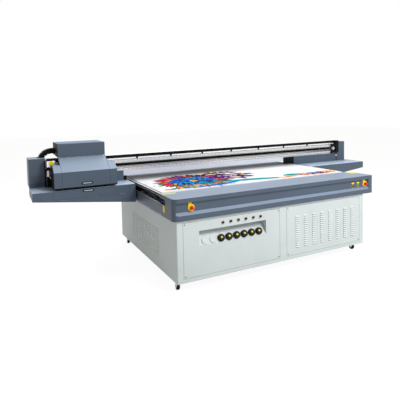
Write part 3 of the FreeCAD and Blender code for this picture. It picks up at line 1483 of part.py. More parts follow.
def make_uv_lamps():
    """Two curing lamps, one in each wing, with their mounting rails."""
    lamps = []
    for wing in ("carriage_left", "core_right"):
        middle = wing + " + wing_width / 2"
        case = block((middle + " - lamp_wide / 2", "gantry_front + 40", "carriage_base + 3"),
                     ("lamp_wide", "lamp_long", "lamp_high"))
        rail = block((wing + " + cover_skin", "gantry_front + 120", "carriage_base + 3 + lamp_high"),
                     ("wing_width - 2 * cover_skin", "30", "6"))
        lamps.append(fuse(case, rail))
    return group(*lamps, name="Lamps")


def wing(left):
    """One lamp housing beside the carriage's core: a hollow box with a sloping shoulder, open below."""
    shoulder = "front_height + slope_rise * wing_slope_depth / hood_setback"
    section = [("0", "0"), ("0", "front_height"), ("wing_slope_depth", shoulder), ("wing_depth", shoulder),
               ("wing_depth", "0")]
    hollow_section = [("cover_skin", "-1"), ("cover_skin", "front_height - cover_skin / 2"),
                      ("wing_slope_depth", shoulder + " - cover_skin"),
                      ("wing_depth - cover_skin", shoulder + " - cover_skin"),
                      ("wing_depth - cover_skin", "-1")]
    outer = prism("YZ", section, "wing_width", (left, "gantry_front", "carriage_base"))
    hollow = prism("YZ", hollow_section, "wing_width - 2 * cover_skin",
                   (left + " + cover_skin", "gantry_front", "carriage_base"))
    return cut(outer, hollow)


def make_carriage_cover():
    """Carriage covers: side cheeks, the hood over the beam, both wings, and the lid's hinge pins."""
    cheek = [("0", "0"), ("0", "front_height"), ("hood_setback", "front_height + slope_rise"),
             ("hood_setback", "hood_rise"), ("hood_setback + hood_depth", "hood_rise"),
             ("hood_setback + hood_depth", "front_height + slope_rise"),
             ("wing_depth", "front_height + slope_rise"), ("wing_depth", "0")]
    pieces = [prism("YZ", cheek, "cover_skin", (left, "gantry_front", "carriage_base"))
              for left in ("core_left", "core_right - cover_skin")]
    for across in ("carriage_left", "core_right"):
        pieces.append(wing(across))
    hood = block(("core_left", "hood_front", "hood_base"), ("carriage_core", "hood_depth", "hood_height"))
    hollow = block(("core_left + cover_skin", "hood_front + cover_skin", "hood_base - 1"),
                   ("carriage_core - 2 * cover_skin", "hood_depth - 2 * cover_skin",
                    "hood_height - cover_skin + 1"))
    pieces.append(cut(hood, hollow))
    for place in lid_hinges():
        pieces += hinge_pin(place, "lid_pin_y", "lid_pin_z")
    chain_way = block(("core_left - 1", "chain_front - 8", "hood_base - 1"),
                      ("cover_skin + 2", "chain_wide + 16",
                       "chain_z + chain_bend_radius + chain_high / 2 + 9 - hood_base"))
    return cut(fuse(*pieces), chain_way)


def lid_hinges():
    return ["core_left + hinge_inset", "core_right - hinge_inset - hinge_length"]


def make_carriage_lid():
    """Bent front lid: an upright lower part with a pull, a slope up to the hood, and hinge knuckles."""
    foot = "head_cover_gap"
    section = [("0", foot), ("0", "front_height"), ("hood_setback - 3", "front_height + slope_rise - 2"),
               ("hood_setback - 3", "front_height + slope_rise - 5.5"), ("cover_skin", "front_height - 2"),
               ("cover_skin", foot)]
    sheet = prism("YZ", section, "carriage_core - 2 * cover_skin - 2 * lid_gap",
                  ("core_left + cover_skin + lid_gap", "gantry_front", "carriage_base"))
    pieces = [sheet] + pull("core_left + carriage_core * 0.52", "gantry_front", "carriage_base + 48")
    leaf = [("-1", "-2.5"), ("-14", "-knuckle_radius - 13"), ("-16", "-knuckle_radius - 13"), ("-4", "-2")]
    for place in lid_hinges():
        pieces += hinge_knuckle(place, "lid_pin_y", "lid_pin_z", leaf)
    return fuse(*pieces, name="Lid")


def build():
    """Make every sub-part, in the order that the printer goes together."""
    node("base_frame", make_base_frame())
    node("cabinet_shell", make_cabinet_shell())
    node("front_panel_left", make_front_panel_left())
    node("front_panel_right", make_front_panel_right())
    node("rear_panel", make_rear_panel())
    node("panel_screws", make_panel_screws())
    node("ink_bay", make_ink_bay())
    node("ink_tanks", make_ink_tanks())
    node("ink_lamps", make_ink_lamps())
    for number in range(6):
        node("ink_cap_%d" % (number + 1), make_ink_cap(number + 2))
    node("control_box", make_control_box())
    node("vacuum_blower", make_vacuum_blower())
    for corner in CORNERS:
        node("caster_fork_" + corner, make_caster_fork(corner))
        node("caster_wheel_" + corner, make_caster_wheel(corner))
    node("caster_plates", make_caster_plates())
    node("apron_front", make_apron_front())
    node("table_skirts", make_table_skirts())
    node("bed", make_bed())
    node("print_sheet", make_print_sheet())
    node("y_rails", make_y_rails())
    node("y_screw_left", make_y_screw(-1))
    node("y_screw_right", make_y_screw(1))
    node("switch_housings", make_switch_housings())
    node("estop_left", make_estop(-1))
    node("estop_right", make_estop(1))
    node("start_button", make_button(1))
    node("stop_button", make_button(2))
    node("gantry_legs", make_gantry_legs())
    node("gantry_blocks", make_gantry_blocks())
    node("service_tray", make_service_tray())
    node("tray_door", make_tray_door())
    node("cap_station", make_cap_station())
    node("right_shelf", make_right_shelf())
    node("end_pillars", make_end_pillars())
    node("beam", make_beam())
    node("x_rails", make_x_rails())
    node("x_belt", make_x_belt())
    node("drive_pulley", make_drive_pulley())
    node("idler_pulley", make_idler_pulley())
    node("x_drive_mounts", make_x_drive_mounts())
    node("chain_trough", make_chain_trough())
    node("chain_lower_run", make_chain_lower_run())
    node("chain_bend", make_chain_bend())
    node("carriage_slide", make_carriage_slide())
    node("head_plate", make_head_plate())
    node("print_heads", make_print_heads())
    node("uv_lamps", make_uv_lamps())
    node("carriage_cover", make_carriage_cover())
    node("carriage_lid", make_carriage_lid())


def check_and_write():
    """Stop on any failed object, then write each sub-part to its own file."""
    failed = [item.Name for item in DOC.Objects if "Invalid" in item.State or "Error" in item.State]
    if failed:
        raise RuntimeError("objects failed to recompute: " + ", ".join(failed))
    for item in NODES:
        if item.Shape.isNull() or not item.Shape.isValid():
            raise RuntimeError(item.Label + " has no valid shape")
    os.makedirs("parts", exist_ok=True)
    for item in NODES:
        item.Shape.exportStep(os.path.join("parts", item.Label + ".step"))
        print(item.Label, len(item.Shape.Solids))


make_sheet()
build()
DOC.recompute()
check_and_write()
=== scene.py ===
"""Dressed model of a wide flatbed UV printer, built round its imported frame."""

import logging
import math
import random
from collections.abc import Callable
from dataclasses import dataclass
from enum import Enum

import bmesh
import bpy
from mathutils import Matrix, Vector

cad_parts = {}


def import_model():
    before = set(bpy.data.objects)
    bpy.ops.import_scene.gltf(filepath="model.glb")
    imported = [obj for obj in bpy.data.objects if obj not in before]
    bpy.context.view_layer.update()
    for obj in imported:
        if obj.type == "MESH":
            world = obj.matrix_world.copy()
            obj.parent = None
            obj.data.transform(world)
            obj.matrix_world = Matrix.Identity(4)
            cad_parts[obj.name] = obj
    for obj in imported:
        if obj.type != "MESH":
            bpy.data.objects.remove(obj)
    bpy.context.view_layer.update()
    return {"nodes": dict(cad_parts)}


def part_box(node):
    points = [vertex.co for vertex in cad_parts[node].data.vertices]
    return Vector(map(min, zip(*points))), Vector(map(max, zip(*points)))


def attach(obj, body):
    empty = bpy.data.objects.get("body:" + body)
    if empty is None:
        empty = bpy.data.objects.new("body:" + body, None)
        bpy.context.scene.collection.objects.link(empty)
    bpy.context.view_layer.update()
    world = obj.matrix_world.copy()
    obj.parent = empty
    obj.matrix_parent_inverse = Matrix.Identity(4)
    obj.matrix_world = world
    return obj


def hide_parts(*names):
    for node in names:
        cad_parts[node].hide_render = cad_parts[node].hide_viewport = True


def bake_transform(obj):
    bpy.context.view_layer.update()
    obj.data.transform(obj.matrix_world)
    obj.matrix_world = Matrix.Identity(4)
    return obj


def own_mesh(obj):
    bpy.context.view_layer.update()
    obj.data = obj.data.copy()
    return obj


LOG = logging.getLogger("uv_printer")
STEEP = 0.6  # share of a face's normal along an axis above which the face counts as facing that way
FORWARD = Vector((0, -1, 0))
BACKWARD = Vector((0, 1, 0))
Colour = tuple[float, float, float]
Spot = tuple[float, float]
Range = tuple[float, float]


class Axis(Enum):
    """Direction that a prism runs in."""

    X = 0
    Y = 1
    Z = 2


@dataclass(frozen=True)
class Extent:
    """The box that a frame node fills, in metres."""

    lo: Vector
    hi: Vector

    @classmethod
    def of(cls, node: str) -> "Extent":
        """Read one node's box."""
        lo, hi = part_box(node)
        return cls(Vector(lo), Vector(hi))

    @property
    def middle(self) -> Vector:
        """Centre of the box."""
        return (self.lo + self.hi) / 2

    @property
    def size(self) -> Vector:
        """Side lengths of the box."""
        return self.hi - self.lo


def around(steps: int) -> list[Spot]:
    """Points round the unit circle, in even steps from its first axis."""
    turns = [2 * math.pi * step / steps for step in range(steps)]
    return [(math.cos(turn), math.sin(turn)) for turn in turns]


def between(near: Spot, far: Spot, share: float) -> Spot:
    """Point at a share of the way from one point to another."""
    return near[0] + (far[0] - near[0]) * share, near[1] + (far[1] - near[1]) * share


class NodeNet:
    """Small helper that adds and links shader nodes in one tree."""

    def __init__(self, tree: bpy.types.NodeTree) -> None:
        """Take the tree that nodes go into."""
        self.tree = tree

    def add(self, kind: str, **values: object) -> bpy.types.Node:
        """Add a node and set its properties or input defaults.

        Args:
            kind: The node's Blender type name.
            **values: Property values by name, or input defaults by in_NAME with _ for a space.

        Returns:
            The new node.
        """
        made = self.tree.nodes.new(kind)
        for name, value in values.items():
            if name.startswith("in_"):
                made.inputs[name[3:].replace("_", " ")].default_value = value
            else:
                setattr(made, name, value)
        return made

    def join(self, source: bpy.types.NodeSocket, target: bpy.types.NodeSocket) -> None:
        """Link an output to an input."""
        self.tree.links.new(source, target)

    def feed(self, value: object, target: bpy.types.NodeSocket) -> None:
        """Give an input a socket to follow, or else a fixed value.

        Args:
            value: A socket or a plain value.
            target: The input.
        """
        if isinstance(value, bpy.types.NodeSocket):
            self.join(value, target)
        else:
            target.default_value = value

    def math(self, operation: str, first: object, second: object = 0.0) -> bpy.types.NodeSocket:
        """Add a math node.

        Args:
            operation: What it does, by Blender's name.
            first: A socket or a number.
            second: A socket or a number.

        Returns:
            The result.
        """
        made = self.add("ShaderNodeMath", operation=operation)
        self.feed(first, made.inputs[0])
        self.feed(second, made.inputs[1])
        return made.outputs[0]

    def mix(self, share: object, first: object, second: Colour) -> bpy.types.NodeSocket:
        """Mix two colours.

        Args:
            share: How much of the second colour shows, as a socket or a number.
            first: The first colour, as a socket or a tuple.
            second: The second colour.

        Returns:
            The mixed colour.
        """
        made = self.add("ShaderNodeMix", data_type="RGBA")
        factor, colour_a, colour_b = made.inputs[0], made.inputs[6], made.inputs[7]
        self.feed(share, factor)
        self.feed((*first, 1.0) if isinstance(first, tuple) else first, colour_a)
        self.feed((*second, 1.0), colour_b)
        return made.outputs[2]

    def ranged(self, value: bpy.types.NodeSocket, low: float, high: float, start: float = 0.0,
               end: float = 1.0, kind: str = "LINEAR") -> bpy.types.NodeSocket:
        """Map a value from one range onto another.

        Args:
            value: The value.
            low: Where its own range starts.
            high: Where its own range ends.
            start: What the low end turns into.
            end: What the high end turns into.
            kind: Blender's name for the curve between them.

        Returns:
            The mapped value.
        """
        made = self.add("ShaderNodeMapRange", interpolation_type=kind, in_From_Min=low, in_From_Max=high,
                        in_To_Min=start, in_To_Max=end)
        self.join(value, made.inputs["Value"])
        return made.outputs[0]

    def place(self) -> bpy.types.NodeSocket:
        """Place on the object, in the object's own frame."""
        return self.add("ShaderNodeTexCoord").outputs["Object"]

    def noise(self, place: bpy.types.NodeSocket, **values: float) -> bpy.types.Node:
        """Add a noise texture.

        Args:
            place: Where it's read.
            **values: Input defaults, named as for add.

        Returns:
            The texture node.
        """
        made = self.add("ShaderNodeTexNoise", **values)
        self.join(place, made.inputs["Vector"])
        return made


def new_group(name: str, inputs: dict[str, float], outputs: tuple[str, ...]) -> tuple[NodeNet, dict, dict]:
    """Start a shader node group with float inputs and outputs.

    Args:
        name: The group's name.
        inputs: Input names with their defaults.
        outputs: Output names.

    Returns:
        The group's net, its input sockets by name and its output sockets by name.
    """
    tree = bpy.data.node_groups.new(name, "ShaderNodeTree")
    for label, value in inputs.items():
        socket = tree.interface.new_socket(label, in_out="INPUT", socket_type="NodeSocketFloat")
        socket.default_value = value
    for label in outputs:
        tree.interface.new_socket(label, in_out="OUTPUT", socket_type="NodeSocketFloat")
    net = NodeNet(tree)
    entry, leave = net.add("NodeGroupInput"), net.add("NodeGroupOutput")
    return net, {n: entry.outputs[n] for n in inputs}, {n: leave.inputs[n] for n in outputs}


def build_grain_group() -> bpy.types.NodeTree:
    """Fine orange-peel grain of a sprayed or moulded surface, with slow cloudiness.

    Returns:
        The group, with a Height for the grain and a Cloud for the slow change.
    """
    net, given, out = new_group("fine_grain", {"Scale": 420.0}, ("Height", "Cloud"))
    place = net.place()
    fine = net.noise(place, in_Detail=3.0, in_Roughness=0.6)
    net.join(given["Scale"], fine.inputs["Scale"])
    net.join(fine.outputs["Fac"], out["Height"])
    slow = net.noise(place, in_Scale=2.3, in_Detail=4.0, in_Roughness=0.55)
    net.join(slow.outputs["Fac"], out["Cloud"])
    return net.tree


def build_wear_group() -> bpy.types.NodeTree:
    """Rubbed edges: sharp convex places, broken up by noise.

    Returns:
        The group, whose Mask is full where the finish is rubbed through.
    """
    net, given, out = new_group("edge_wear", {"Amount": 0.3}, ("Mask",))
    sharp = net.add("ShaderNodeNewGeometry").outputs["Pointiness"]
    noise = net.noise(net.place(), in_Scale=38.0, in_Detail=5.0)
    both = net.math("MULTIPLY", net.ranged(sharp, 0.56, 0.68), net.ranged(noise.outputs["Fac"], 0.45, 0.62))
    net.join(net.math("MULTIPLY", both, given["Amount"]), out["Mask"])
    return net.tree


def build_dust_group() -> bpy.types.NodeTree:
    """Patches of settled dust on faces that look up.

    Returns:
        The group, whose Mask is full where dust lies.
    """
    net, given, out = new_group("settled_dust", {"Amount": 0.2}, ("Mask",))
    normal = net.add("ShaderNodeSeparateXYZ")
    net.join(net.add("ShaderNodeNewGeometry").outputs["Normal"], normal.inputs[0])
    noise = net.noise(net.place(), in_Scale=7.0, in_Detail=6.0, in_Roughness=0.65)
    both = net.math("MULTIPLY", net.ranged(normal.outputs["Z"], 0.3, 1.0),
                    net.ranged(noise.outputs["Fac"], 0.3, 0.75))
    net.join(net.math("MULTIPLY", both, given["Amount"]), out["Mask"])
    return net.tree


def build_brush_group() -> bpy.types.NodeTree:
    """Long fine brush lines of ground or drawn metal, along X.

    Returns:
        The group, with the lines as a Height and as a Streak of tone.
    """
    net, given, out = new_group("brush_lines", {"Scale": 300.0}, ("Height", "Streak"))
    stretch = net.add("ShaderNodeMapping", in_Scale=(0.01, 1.0, 1.0))
    net.join(net.place(), stretch.inputs["Vector"])
    lines = net.noise(stretch.outputs[0], in_Detail=4.0, in_Roughness=0.7)
    net.join(given["Scale"], lines.inputs["Scale"])
    for label in out:
        net.join(lines.outputs["Fac"], out[label])
    return net.tree


class Effects:
    """The shader node groups that the finishes share, each built once."""

    def __init__(self) -> None:
        """Build every group."""
        self.grain = build_grain_group()
        self.wear = build_wear_group()
        self.dust = build_dust_group()
        self.brush = build_brush_group()


def srgb(red: int, green: int, blue: int) -> Colour:
    """Turn an 8-bit display colour into a linear one."""
    return tuple(v / 12.92 if v <= 0.04045 else ((v + 0.055) / 1.055) ** 2.4
                 for v in (red / 255, green / 255, blue / 255))


@dataclass(frozen=True)
class Finish:
    """One surface finish: its colour, gloss and how it has aged."""

    name: str
    colour: Colour
    roughness: float = 0.45
    metallic: float = 0.0
    coat: float = 0.0
    specular: float = 0.5
    grain_scale: float = 420.0
    grain_depth: float = 0.00003
    cloud: float = 0.05
    wear: float = 0.25
    worn: Colour = (0.5, 0.5, 0.52)
    dust: float = 0.12
    dust_tint: Colour = (0.75, 0.76, 0.78)
    dust_dulling: float = 0.5
    gloss_swing: float = 0.16
    brushed: bool = False

    def build(self, effects: Effects) -> bpy.types.Material:
        """Make the material.

        Args:
            effects: The shared node groups.

        Returns:
            A Principled material with colour, roughness and bump from nodes.
        """
        material = bpy.data.materials.new(self.name)
        material.use_nodes = True
        net = NodeNet(material.node_tree)
        shader = material.node_tree.nodes["Principled BSDF"]
        shader.inputs["Metallic"].default_value = self.metallic
        shader.inputs["Coat Weight"].default_value = self.coat
        shader.inputs["Specular IOR Level"].default_value = self.specular
        grain = net.add("ShaderNodeGroup", node_tree=effects.brush if self.brushed else effects.grain)
        grain.inputs["Scale"].default_value = self.grain_scale
        wear = net.add("ShaderNodeGroup", node_tree=effects.wear)
        wear.inputs["Amount"].default_value = self.wear
        dust = net.add("ShaderNodeGroup", node_tree=effects.dust)
        dust.inputs["Amount"].default_value = self.dust
        tone = grain.outputs["Streak" if self.brushed else "Cloud"]
        tinted = net.add("ShaderNodeVectorMath", operation="SCALE")
        tinted.inputs[0].default_value = self.colour
        net.join(net.ranged(tone, 0.3, 0.7, 1.0 - self.cloud, 1.0 + self.cloud), tinted.inputs["Scale"])
        dusted = net.mix(dust.outputs["Mask"], tinted.outputs[0], self.dust_tint)
        net.join(net.mix(wear.outputs["Mask"], dusted, self.worn), shader.inputs["Base Color"])
        swing = net.math("MULTIPLY", tone, self.gloss_swing)
        rough = net.math("ADD", swing, self.roughness - self.gloss_swing / 2)
        dull = net.math("MULTIPLY", dust.outputs["Mask"], self.dust_dulling)
        net.join(net.math("ADD", rough, dull), shader.inputs["Roughness"])
        bump = net.add("ShaderNodeBump", in_Strength=1.0, in_Distance=self.grain_depth)
        net.join(grain.outputs["Height"], bump.inputs["Height"])
        net.join(bump.outputs["Normal"], shader.inputs["Normal"])
        return material


FINISHES = (
    Finish("slate_coat", srgb(79, 93, 111), 0.42, specular=0.4, wear=0.06, worn=srgb(136, 146, 158),
           dust=0.02),
    # Lighter copies of slate_coat for faces that look up: painted highlight where tops catch more light.
    Finish("slate_coat_top", srgb(130, 147, 170), 0.38, wear=0.05, worn=srgb(176, 186, 198), dust=0.03),
    Finish("slate_coat_shelf", srgb(178, 196, 218), 0.38, wear=0.05, worn=srgb(190, 200, 210), dust=0.03),
    Finish("slate_coat_slope", srgb(140, 158, 181), 0.55, specular=0.35, wear=0.05, worn=srgb(166, 176, 188),
           dust=0.02),
    Finish("slate_coat_crown", srgb(112, 136, 162), 0.55, specular=0.35, wear=0.05, worn=srgb(166, 176, 188),
           dust=0.02),
    Finish("cabinet_coat", srgb(207, 217, 218), 0.42, wear=0.08, worn=srgb(184, 184, 180), dust=0.02),
    Finish("bay_coat", srgb(200, 208, 211), 0.45, wear=0.08, worn=srgb(170, 170, 168), dust=0.02),
    Finish("louvre_coat", srgb(226, 233, 233), 0.42, wear=0.05, worn=srgb(214, 216, 214), dust=0.0),
    Finish("frame_coat", srgb(96, 98, 102), 0.5, wear=0.5, worn=srgb(150, 150, 150)),
    Finish("black_coat", srgb(9, 9, 10), 0.55, specular=0.12, wear=0.2, worn=srgb(50, 50, 52), dust=0.003),
    Finish("black_moulding", srgb(9, 9, 10), 0.5, specular=0.16, grain_scale=900.0, wear=0.2,
           worn=srgb(44, 44, 46), dust=0.003),
    Finish("grey_moulding", srgb(74, 76, 80), 0.45, grain_scale=900.0, wear=0.2, dust=0.03),
    Finish("natural_plastic", srgb(226, 226, 216), 0.4, wear=0.05, dust=0.04),
    Finish("tyre_rubber", srgb(20, 20, 21), 0.62, specular=0.15, grain_scale=700.0, grain_depth=0.0002,
           wear=0.35, worn=srgb(80, 78, 75), dust=0.04),
    Finish("belt_rubber", srgb(8, 8, 8), 0.6, specular=0.1, grain_scale=900.0, wear=0.0, dust=0.002),
    Finish("red_gloss", srgb(228, 4, 4), 0.25, coat=0.1, specular=0.3, wear=0.15, worn=srgb(220, 90, 80),
           dust=0.01),
    Finish("lamp_red", srgb(96, 4, 14), 0.3, specular=0.25, wear=0.0, dust=0.0),
    Finish("green_gloss", srgb(26, 120, 52), 0.24, coat=0.5, wear=0.1, dust=0.01),
    Finish("yellow_gloss", srgb(255, 224, 0), 0.38, specular=0.2, wear=0.12, worn=srgb(206, 170, 40),
           dust=0.01),
    Finish("cap_yellow", srgb(204, 206, 0), 0.3, specular=0.3, wear=0.05, dust=0.0),
    Finish("marking_tape", srgb(246, 226, 10), 0.55, specular=0.2, wear=0.4, worn=srgb(216, 204, 90),
           dust=0.02),
    Finish("ground_steel", srgb(222, 224, 228), 0.3, 0.8, grain_scale=160.0, grain_depth=0.00002, cloud=0.06,
           wear=0.0, dust=0.02, brushed=True),
    Finish("zinc_steel", srgb(190, 192, 194), 0.34, 1.0, cloud=0.12, wear=0.2, worn=srgb(120, 116, 108),
           dust=0.04),
    Finish("dark_screw", srgb(30, 31, 33), 0.4, 0.3, cloud=0.1, wear=0.1, dust=0.0),
    Finish("satin_aluminium", srgb(226, 228, 231), 0.34, 0.55, grain_scale=220.0, grain_depth=0.00002,
           cloud=0.04, wear=0.0, dust=0.02, brushed=True),
    Finish("bright_extrusion", srgb(252, 253, 254), 0.35, 0.7, grain_scale=220.0, grain_depth=0.00002,
           cloud=0.03, wear=0.0, dust=0.01, brushed=True),
    Finish("pale_fascia", srgb(222, 229, 241), 0.5, specular=0.3, wear=0.1, worn=srgb(226, 228, 232),
           dust=0.02),
    # Near black for bolt heads and bores, and also painted shade where a dark mark or sheet stands for shade.
    Finish("dark_bore", srgb(8, 8, 9), 0.7, specular=0.1, wear=0.0, dust=0.0),
    Finish("seam_shadow", srgb(36, 37, 38), 0.8, specular=0.1, wear=0.0, dust=0.0),
    Finish("slit_shadow", srgb(140, 148, 149), 0.7, specular=0.1, wear=0.0, dust=0.0),
    Finish("board_face", srgb(236, 237, 240), 0.5, specular=0.3, grain_scale=300.0, cloud=0.02, wear=0.0,
           dust=0.0),
    Finish("bed_face", srgb(196, 198, 202), 0.4, 0.35, cloud=0.06, wear=0.1, dust=0.04),
)


class Shaper:
    """Collects the meshes of one piece, then hangs it on its body."""

    def __init__(self, name: str) -> None:
        """Start an empty piece."""
        self.name = name
        self.mesh = bmesh.new()

    def _mark(self, faces: list, finish: int) -> None:
        """Give new faces their finish number."""
        for face in faces:
            face.material_index = finish

    def hull(self, rings: list[list[Vector]], finish: int = 0) -> None:
        """Skin a row of closed rings that have equal point counts, and close both ends.

        Args:
            rings: Point rings in order.
            finish: Finish number of the new faces.
        """
        made = [[self.mesh.verts.new(p) for p in ring] for ring in rings]
        faces = []
        count = len(made[0])
        for near, far in zip(made, made[1:]):
            for step in range(count):
                after = (step + 1) % count
                faces.append(self.mesh.faces.new((near[step], near[after], far[after], far[step])))
        faces.append(self.mesh.faces.new(list(reversed(made[0]))))
        faces.append(self.mesh.faces.new(made[-1]))
        self._mark(faces, finish)

    def prism(self, outline: list[Spot], along: Axis, start: float, end: float, finish: int = 0,
              soft: float = 0.0) -> None:
        """Add a prism, with its edges softened by a bevel.

        Args:
            outline: Points in the two other axes, in the order of X, Y, Z.
            along: The axis that the prism runs along.
            start: Where it starts on that axis.
            end: Where it ends.
            finish: Finish number of the new faces.
            soft: The bevel's width, or 0 for none.
        """
        across, up = (axis.value for axis in Axis if axis is not along)
        rings = []
        for depth in (start, end):
            ring = []
            for point in outline:
                at = Vector((depth, depth, depth))
                at[across], at[up] = point
                ring.append(at)
            rings.append(ring)
        before = set(self.mesh.edges)
        self.hull(rings, finish)
        if soft > 0:
            edges = [e for e in self.mesh.edges if e not in before]
            made = bmesh.ops.bevel(self.mesh, geom=edges, offset=soft, segments=2, profile=0.6,
                                   affect="EDGES", clamp_overlap=True)
            self._mark(made["faces"], finish)

    def block(self, lo: tuple, hi: tuple, finish: int = 0, soft: float = 0.0) -> None:
        """Add a box.

        Args:
            lo: Its lowest corner.
            hi: Its highest corner.
            finish: Finish number of the new faces.
            soft: Width of the bevel round its edges, or 0 for none.
        """
        outline = [(lo[0], lo[1]), (hi[0], lo[1]), (hi[0], hi[1]), (lo[0], hi[1])]
        self.prism(outline, Axis.Z, lo[2], hi[2], finish, soft)

    def turn(self, profile: list[Spot], centre: Vector, along: Vector, steps: int = 32,
             finish: int = 0) -> None:
        """Turn an open profile of (radius, height) points about an axis.

        Args:
            profile: Points from one end to the other; an end at radius 0 closes itself.
            centre: Where height 0 lies.
            along: Direction of the axis.
            steps: Points round.
            finish: Finish number of the new faces.
        """
        spin = along.normalized().to_track_quat("Z", "Y").to_matrix()
        wide = [(max(radius, 1e-6), height) for radius, height in profile]
        self.hull([[centre + spin @ Vector((radius * x, radius * y, height)) for x, y in around(steps)]
                   for radius, height in wide], finish)

    def sweep(self, path: list[Vector], radius: float, steps: int = 10, finish: int = 0) -> None:
        """Run a round tube along a path.

        Args:
            path: Points along the tube's middle.
            radius: The tube's radius.
            steps: Points round.
            finish: Finish number of the new faces.
        """
        rings = []
        for index, point in enumerate(path):
            ahead = path[min(index + 1, len(path) - 1)] - path[max(index - 1, 0)]
            spin = ahead.normalized().to_track_quat("Z", "Y").to_matrix()
            rings.append([point + spin @ Vector((radius * x, radius * y, 0)) for x, y in around(steps)])
        self.hull(rings, finish)

    def flat(self, points: list[Vector], finish: int = 0) -> None:
        """Add one flat face."""
        self._mark([self.mesh.faces.new([self.mesh.verts.new(p) for p in points])], finish)

    def place(self, body: str, finishes: list[bpy.types.Material], replaces: tuple[str, ...] = (),
              slot: str = "", sharp: float = 32.0) -> bpy.types.Object:
        """Turn the collected mesh into a piece that rides on a body.

        Args:
            body: The body's name, or an empty one for a piece that hangs on no body.
            finishes: Materials by finish number.
            replaces: Frame nodes that this piece stands for.
            slot: The record's material slot; not used.
            sharp: Angle in degrees above which an edge stays sharp.

        Returns:
            The new object.
        """
        bmesh.ops.remove_doubles(self.mesh, verts=self.mesh.verts, dist=1e-6)
        bmesh.ops.recalc_face_normals(self.mesh, faces=self.mesh.faces)
        limit = math.radians(sharp)
        for face in self.mesh.faces:
            face.smooth = True
        for edge in self.mesh.edges:
            edge.smooth = len(edge.link_faces) == 2 and edge.calc_face_angle(0.0) < limit
        data = bpy.data.meshes.new(self.name)
        self.mesh.to_mesh(data)
        self.mesh.free()
        for material in finishes:
            data.materials.append(material)
        made = bpy.data.objects.new(self.name, data)
        bpy.context.scene.collection.objects.link(made)
        if body:
            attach(made, body)
        if replaces:
            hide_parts(*replaces)
        LOG.info("piece %s on %s", self.name, body or "two bodies")
        return made


Finishes = dict[str, bpy.types.Material]


@dataclass
class Dresser:
    """Gives frame nodes their finishes and softens their edges."""

    finishes: Finishes
    nodes: dict[str, bpy.types.Object]
    weld_gap: float = 0.00001
    flat_limit: float = math.radians(0.5)
    edge_limit: float = math.radians(40)

    def soften(self, shown: bpy.types.Object, soft: float) -> None:
        """Round a node's edges with modifiers.

        Args:
            shown: The node's object.
            soft: The bevel's width in metres.
        """
        weld = shown.modifiers.new("weld", "WELD")
        weld.merge_threshold = self.weld_gap
        flat = shown.modifiers.new("flat", "DECIMATE")
        flat.decimate_type = "DISSOLVE"
        flat.angle_limit = self.flat_limit
        bevel = shown.modifiers.new("soft_edges", "BEVEL")
        bevel.width = soft
        bevel.segments = 2
        bevel.limit_method = "ANGLE"
        bevel.angle_limit = self.edge_limit
        bevel.use_clamp_overlap = True
        weight = shown.modifiers.new("even_shading", "WEIGHTED_NORMAL")
        weight.keep_sharp = True

    def dress(self, node: str, *names: str, soft: float = 0.0, slot: str = "") -> None:
        """Put finishes on a node.

        Args:
            node: The frame node.
            *names: Finish names, the first one for the whole node.
            soft: Bevel width in metres, or 0 for none.
            slot: The record's material slot; not used.
        """
        shown = self.nodes[node]
        shown.data.materials.clear()
        for name in names:
            shown.data.materials.append(self.finishes[name])
        shown.data.polygons.foreach_set("material_index", [0] * len(shown.data.polygons))
        if soft > 0:
            self.soften(shown, soft)
        LOG.info("node %s in %s", node, ", ".join(names))

    def repaint(self, node: str, finish: int, chosen: Callable[[Vector, Vector], bool]) -> None:
        """Give some faces of a node another of its finishes.

        Args:
            node: The frame node.
            finish: The finish's number on the node.
            chosen: Test of a face's centre and normal that picks the faces.
        """
        for face in self.nodes[node].data.polygons:
            if chosen(face.center, face.normal):
                face.material_index = finish

    def dress_slate(self, node: str, *extra: str, soft: float = 0.0015, top: str = "slate_coat_top") -> None:
        """Dress a slate sheet: 0 slate, 1 a lighter copy of it on its upward faces, a painted highlight, 2
        black.

        Args:
            node: The frame node.
            *extra: Further finish names, from number 3 on.
            soft: Bevel width in metres.
            top: Finish name of the upward faces, a lighter copy of the slate that paints a highlight on them.
        """
        self.dress(node, "slate_coat", top, "black_coat", *extra, soft=soft, slot="slate_paint")
        self.repaint(node, 1, lambda centre, normal: normal.z > STEEP)


@dataclass(frozen=True)
class Lamp:
    """One round soft lamp of the studio."""

    name: str
    place: tuple[float, float, float]
    width: float
    power: float
    aim: tuple[float, float, float] = (0, 0, 0.8)

    def build(self) -> None:
        """Hang the lamp and turn it to its aim."""
        data = bpy.data.lights.new(self.name, "AREA")
        data.shape = "DISK"
        data.size = self.width
        data.energy = self.power
        lamp = bpy.data.objects.new(self.name, data)
        lamp.location = self.place
        lamp.rotation_mode = "QUATERNION"
        lamp.rotation_quaternion = (Vector(self.aim) - Vector(self.place)).to_track_quat("-Z", "Y")
        bpy.context.scene.collection.objects.link(lamp)


